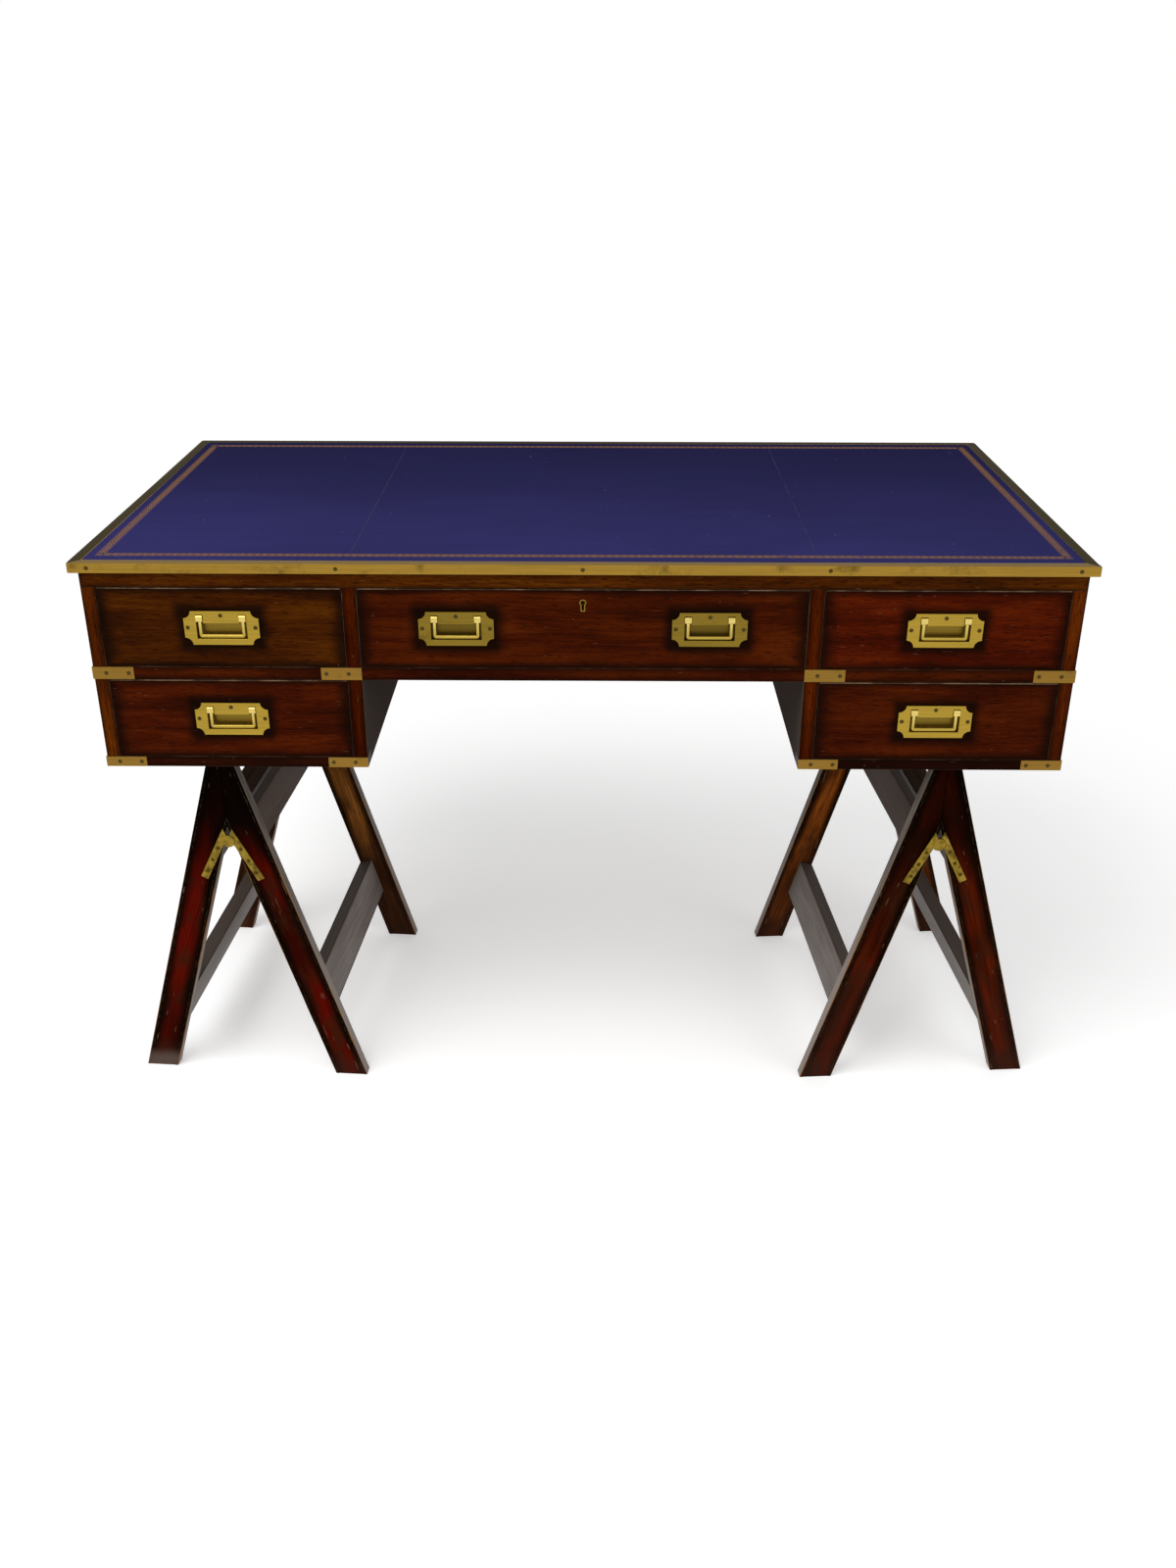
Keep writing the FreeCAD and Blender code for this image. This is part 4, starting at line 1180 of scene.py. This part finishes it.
def dress_screws(context):
    look = settings(context).brass
    metal = aged_brass("screw_brass", look, look.screw, tarnish=0.6, rough=0.4)
    draw = random.Random(settings(context).seed)
    for node in ("case_screws", *(drawer + "_handle_screws" for drawer in DRAWER_TONES)):
        bm = bmesh.new()
        for place, axis in drop_screws(solids_of(node)):
            slotted_head(bm, place, axis, look.screw_slot, draw.uniform(0, math.pi))
        stand_in(node, bm, metal, node + "_slotted")


# ---------------------------------------------------------------- trestles
FRAMES = ("outer", "inner")
TO_MIDDLE = 195 * MM
LONG_EDGE = 300 * MM
LINE_HALF = 0.3 * MM
LINE_OVERRUN = 0.8 * MM
LUG_CORE = 5 * MM
LEAF_SCREW_PROUD = 0.35 * MM
# The dome of a lug: its radius, and its height over the leaf.
DOME = [(8.9 * MM, -0.25 * MM), (8.7 * MM, 0.3 * MM), (7.6 * MM, 0.62 * MM),
        (4.5 * MM, 0.85 * MM), (0.4 * MM, 0.95 * MM)]


def way_back(hand):
    """The direction that runs straight back along a trestle."""
    return forward(Vector(JOINTS[hand + "_trestle_fold"]["axis"]))


def score_lines(bm, back, look):
    """Scratches a line beside each long edge of a leg's front and rear face."""
    depths = [v.co.dot(back) for v in bm.verts]
    front, rear = min(depths), max(depths)
    middle = sum((v.co for v in bm.verts), Vector()) / len(bm.verts)
    guides = []
    for edge in bm.edges:
        origin = edge.verts[0].co.copy()
        span = edge.calc_length()
        run = (edge.verts[1].co - origin).normalized()
        in_front = origin.dot(back) < (front + rear) / 2
        if span > LONG_EDGE and abs(run.dot(back)) < NEARLY_SQUARE and in_front:
            inward = run.cross(back).normalized()
            if inward.dot(middle - origin) < 0:
                inward = -inward
            guides.append((origin, inward, run, span))
    for origin, inward, run, span in guides:
        for beside in (-LINE_HALF, 0.0, LINE_HALF):
            inset = look.line_inset + beside
            geometry = bm.verts[:] + bm.edges[:] + bm.faces[:]
            bmesh.ops.bisect_plane(bm, geom=geometry, dist=1e-7, plane_co=origin + inward * inset,
                                   plane_no=inward)
    for origin, inward, run, span in guides:
        for vertex in bm.verts:
            inset = (vertex.co - origin).dot(inward)
            along = (vertex.co - origin).dot(run)
            alongside = -LINE_OVERRUN < along < span + LINE_OVERRUN
            if alongside and abs(inset - look.line_inset) < TOUCH:
                depth = vertex.co.dot(back)
                if depth < front + TOUCH:
                    vertex.co += back * look.line_depth
                elif depth > rear - TOUCH:
                    vertex.co -= back * look.line_depth


def leg_polishes(look):
    """The finishes of the legs. The left trestle's two front legs have one each."""
    red = (0.085, 0.0026, 0.0008)
    brown = (0.10, 0.0095, 0.0012)
    honey = (0.27, 0.10, 0.019)
    amber = (0.28, 0.072, 0.009)
    left_rear = leg_wood("left_rear_mahogany", look, honey, 0.85, 0.7, burn=0.024)
    right_front = leg_wood("right_leg_mahogany", look, brown, 0.82, 0.35, burn=0.026)
    right_rear = leg_wood("right_rear_mahogany", look, amber, 0.9, 0.7, burn=0.024)
    return {
        ("left", "outer", "front"): leg_wood("outer_leg_mahogany", look, red, band=0.85),
        ("left", "inner", "front"): leg_wood("left_leg_mahogany", look, red),
        ("left", "outer", "rear"): left_rear,
        ("left", "inner", "rear"): left_rear,
        ("right", "outer", "front"): right_front,
        ("right", "inner", "front"): right_front,
        ("right", "outer", "rear"): right_rear,
        ("right", "inner", "rear"): right_rear,
    }


def dress_trestles(context):
    look = settings(context).wood
    seed = settings(context).seed
    polishes = leg_polishes(look)
    rail = rail_wood("rail_mahogany", look)
    for number, (hand, side) in enumerate((h, s) for h in HANDS for s in FRAMES):
        back = way_back(hand)
        stem = "%s_trestle_%s" % (hand, side)
        for place, end in enumerate(("front", "rear")):
            node = "%s_%s_leg" % (stem, end)
            bm = solids_of(node)
            score_lines(bm, back, look)
            round_off(bm, long_edges(bm, 12 * MM), look.arris)
            lay_grain(bm, seed + LEG_SEEDS + 2 * number + place, through=back)
            stand_in(node, bm, polishes[hand, side, end])
        bm = solids_of(stem + "_cross_rails")
        round_off(bm, long_edges(bm), look.arris)
        lay_grain(bm, seed + RAIL_SEEDS + number)
        stand_in(stem + "_cross_rails", bm, rail)


def has_outer_lug(bm, middle, back):
    """True for the pair of leaves whose round lug is the outer one, on the hinge's pin."""
    face = max(v.co.dot(back) for v in bm.verts)
    for vertex in bm.verts:
        arm = vertex.co - middle
        aside = arm - back * arm.dot(back)
        if vertex.co.dot(back) > face - 0.1 * MM and aside.length < LUG_CORE:
            return True
    return False


def dress_hinges(context):
    look = settings(context).brass
    metal = aged_brass("hinge_brass", look, shade(look.bright, 0.70), (0, 0, 1), 0.8, mottle=95)
    dark = aged_brass("hinge_screw_brass", look, shade(look.bright, 0.18), tarnish=0.5)
    draw = random.Random(settings(context).seed + 1)
    for hand in HANDS:
        back = way_back(hand)
        middle = Vector(JOINTS[hand + "_trestle_fold"]["pos_m"]) + back * TO_MIDDLE
        for side in FRAMES:
            node = "%s_trestle_%s_hinge_leaves" % (hand, side)
            bm = solids_of(node)
            screws = drop_screws(bm)
            for outward in (back, -back):
                edges = [e for e in face_edges(bm, outward, screws)
                         if (e.verts[0].co - middle).dot(outward) > 0]
                round_off(bm, edges, 1.7 * look.arris)
            if has_outer_lug(bm, middle, back):
                for outward in (back, -back):
                    face = max(v.co.dot(outward) for v in bm.verts) - middle.dot(outward)
                    turned(bm, middle + outward * face, outward, DOME, count=36)
            stand_in(node, bm, metal)
            bm = bmesh.new()
            for place, axis in screws:
                slotted_head(bm, place, axis, look.screw_slot, draw.uniform(0, math.pi),
                             LEAF_SCREW_PROUD)
            piece(node + "_screws", bm, dark, body_of(node))


# ---------------------------------------------------------------- the studio
CAMERA_PLACE = Vector((0.0192, -1.9511, 1.2724))
CAMERA_PITCH = math.radians(26.078)
CAMERA_YAW = math.radians(-0.446)
CAMERA_ROLL = math.radians(0.077)
CAMERA_LENS = 32.93
SENSOR_HEIGHT = 36.0
FAR_CLIP = 200.0
FLOOR_REACH = 60.0
LAMPS_AIM = Vector((0, 0, 0.5))
# The place of each lamp, and its size.
KEY_LAMP = (Vector((-1.3, -1.5, 3.2)), (2.4, 1.8))
FILL_LAMP = (Vector((2.4, -1.8, 2.0)), (1.8, 1.8))


def floor_finish(name, look):
    """Matt pale floor that turns to plain white away from the desk."""
    f = Finish(name)
    distance = f.value("Value", "ShaderNodeVectorMath", (f.place(),), operation="LENGTH")
    away = distance.rise(look.near, look.far)
    seen = f.looked_at()
    f.tint = f.blend(seen * away, (look.floor, look.floor, look.floor), (0.0, 0.0, 0.0))
    return f.done(Roughness=0.8, Specular_IOR_Level=0.0, Emission_Color=(1.0, 1.0, 1.0),
                  Emission_Strength=seen * (away * (1.0 - look.lift) + look.lift))


def place_object(name, data):
    """A new object in the scene."""
    thing = bpy.data.objects.new(name, data)
    bpy.context.scene.collection.objects.link(thing)
    return thing


def aim_camera(camera):
    """Puts the camera in its place and turns it to the desk."""
    pose = Matrix.Translation(CAMERA_PLACE)
    turns = ((-CAMERA_YAW, "Z"), (math.pi / 2 - CAMERA_PITCH, "X"), (CAMERA_ROLL, "Z"))
    for angle, axis in turns:
        pose @= Matrix.Rotation(angle, 4, axis)
    camera.matrix_world = pose


def lamp(name, place, size, power):
    """A square lamp that shines on the desk."""
    data = bpy.data.lights.new(name, "AREA")
    data.shape = "RECTANGLE"
    data.size, data.size_y = size
    data.energy = power
    aim = (LAMPS_AIM - place).to_track_quat("-Z", "Y")
    turn = aim.to_matrix().to_4x4()
    place_object(name, data).matrix_world = Matrix.Translation(place) @ turn


def build_studio(context):
    look = settings(context).studio
    scene = context.scene
    bm = bmesh.new()
    bmesh.ops.create_grid(bm, x_segments=1, y_segments=1, size=FLOOR_REACH)
    mesh = bpy.data.meshes.new("studio_floor")
    bm.to_mesh(mesh)
    bm.free()
    mesh.materials.append(floor_finish("studio_floor", look))
    place_object("studio_floor", mesh)

    data = bpy.data.cameras.new("desk_camera")
    data.sensor_fit = "VERTICAL"
    data.sensor_height = SENSOR_HEIGHT
    data.lens = CAMERA_LENS
    data.clip_end = FAR_CLIP
    scene.camera = place_object("desk_camera", data)
    aim_camera(scene.camera)

    lamp("key_lamp", *KEY_LAMP, look.key)
    lamp("fill_lamp", *FILL_LAMP, look.fill)

    scene.world = bpy.data.worlds.new("studio_room")
    scene.world.use_nodes = True
    room = Nodes(scene.world.node_tree)
    glow = room.tree.nodes["Background"].inputs
    room.join((1, 1, 1), glow["Color"])
    room.join(room.looked_at() * (1.0 - look.ambient) + look.ambient, glow["Strength"])
    scene.view_settings.view_transform = "Standard"


# ---------------------------------------------------------------- operators and panel
class Step:
    """What every step of the finish shares: it can be undone."""
    bl_options = {"REGISTER", "UNDO"}


class DESK_OT_writing_surface(Step, bpy.types.Operator):
    """Lays the tooled leather on the desk"""
    bl_idname = "desk.writing_surface"
    bl_label = "Writing Surface"

    def execute(self, context):
        dress_writing_surface(context)
        return {"FINISHED"}


class DESK_OT_edging(Step, bpy.types.Operator):
    """Finishes the brass edging round the top"""
    bl_idname = "desk.edging"
    bl_label = "Brass Edging"

    def execute(self, context):
        dress_edging(context)
        return {"FINISHED"}


class DESK_OT_case(Step, bpy.types.Operator):
    """Finishes the boards of the case"""
    bl_idname = "desk.case"
    bl_label = "Case"

    def execute(self, context):
        dress_case(context)
        return {"FINISHED"}


class DESK_OT_straps(Step, bpy.types.Operator):
    """Finishes the brass straps on the corners of the case"""
    bl_idname = "desk.straps"
    bl_label = "Corner Straps"

    def execute(self, context):
        dress_straps(context)
        return {"FINISHED"}


class DESK_OT_drawers(Step, bpy.types.Operator):
    """Finishes the drawer fronts and boxes"""
    bl_idname = "desk.drawers"
    bl_label = "Drawers"

    def execute(self, context):
        dress_drawers(context)
        return {"FINISHED"}


class DESK_OT_handle_plates(Step, bpy.types.Operator):
    """Finishes the recessed plates of the handles"""
    bl_idname = "desk.handle_plates"
    bl_label = "Handle Plates"

    def execute(self, context):
        dress_handle_plates(context)
        return {"FINISHED"}


class DESK_OT_bails(Step, bpy.types.Operator):
    """Makes the six drop handles"""
    bl_idname = "desk.bails"
    bl_label = "Drop Handles"

    def execute(self, context):
        dress_bails(context)
        return {"FINISHED"}


class DESK_OT_lock(Step, bpy.types.Operator):
    """Finishes the escutcheon, the lock and its bolt"""
    bl_idname = "desk.lock"
    bl_label = "Lock"

    def execute(self, context):
        dress_lock(context)
        return {"FINISHED"}


class DESK_OT_screws(Step, bpy.types.Operator):
    """Cuts slotted heads on the screws of case and handles"""
    bl_idname = "desk.screws"
    bl_label = "Screws"

    def execute(self, context):
        dress_screws(context)
        return {"FINISHED"}


class DESK_OT_trestles(Step, bpy.types.Operator):
    """Finishes the legs and rails of the trestles"""
    bl_idname = "desk.trestles"
    bl_label = "Trestles"

    def execute(self, context):
        dress_trestles(context)
        return {"FINISHED"}


class DESK_OT_hinges(Step, bpy.types.Operator):
    """Finishes the brass hinges of the trestles"""
    bl_idname = "desk.hinges"
    bl_label = "Hinges"

    def execute(self, context):
        dress_hinges(context)
        return {"FINISHED"}


class DESK_OT_studio(Step, bpy.types.Operator):
    """Sets up the floor, the lamps and the camera"""
    bl_idname = "desk.studio"
    bl_label = "Studio"

    def execute(self, context):
        build_studio(context)
        return {"FINISHED"}


STEPS = [DESK_OT_writing_surface, DESK_OT_edging, DESK_OT_case, DESK_OT_straps,
         DESK_OT_drawers, DESK_OT_handle_plates, DESK_OT_bails, DESK_OT_lock,
         DESK_OT_screws, DESK_OT_trestles, DESK_OT_hinges, DESK_OT_studio]


class DESK_PT_finish(bpy.types.Panel):
    """Lists the desk's settings and steps in the sidebar"""
    bl_idname = "DESK_PT_finish"
    bl_label = "Campaign Desk"
    bl_space_type = "VIEW_3D"
    bl_region_type = "UI"
    bl_category = "Desk"

    def draw(self, context):
        chosen = settings(context)
        for group in (chosen.wood, chosen.brass, chosen.leather, chosen.studio):
            box = self.layout.box()
            for name in group.__annotations__:
                box.prop(group, name)
        self.layout.prop(chosen, "seed")
        for step in STEPS:
            self.layout.operator(step.bl_idname)


CLASSES = [WoodSettings, BrassSettings, LeatherSettings, StudioSettings, DeskSettings,
           *STEPS, DESK_PT_finish]


def register():
    for item in CLASSES:
        bpy.utils.register_class(item)
    bpy.types.Scene.campaign_desk = PointerProperty(type=DeskSettings)


def unregister():
    del bpy.types.Scene.campaign_desk
    for item in reversed(CLASSES):
        bpy.utils.unregister_class(item)


def main():
    register()
    for step in STEPS:
        getattr(bpy.ops.desk, step.bl_idname.split(".")[1])()


if __name__ == "__main__":
    main()
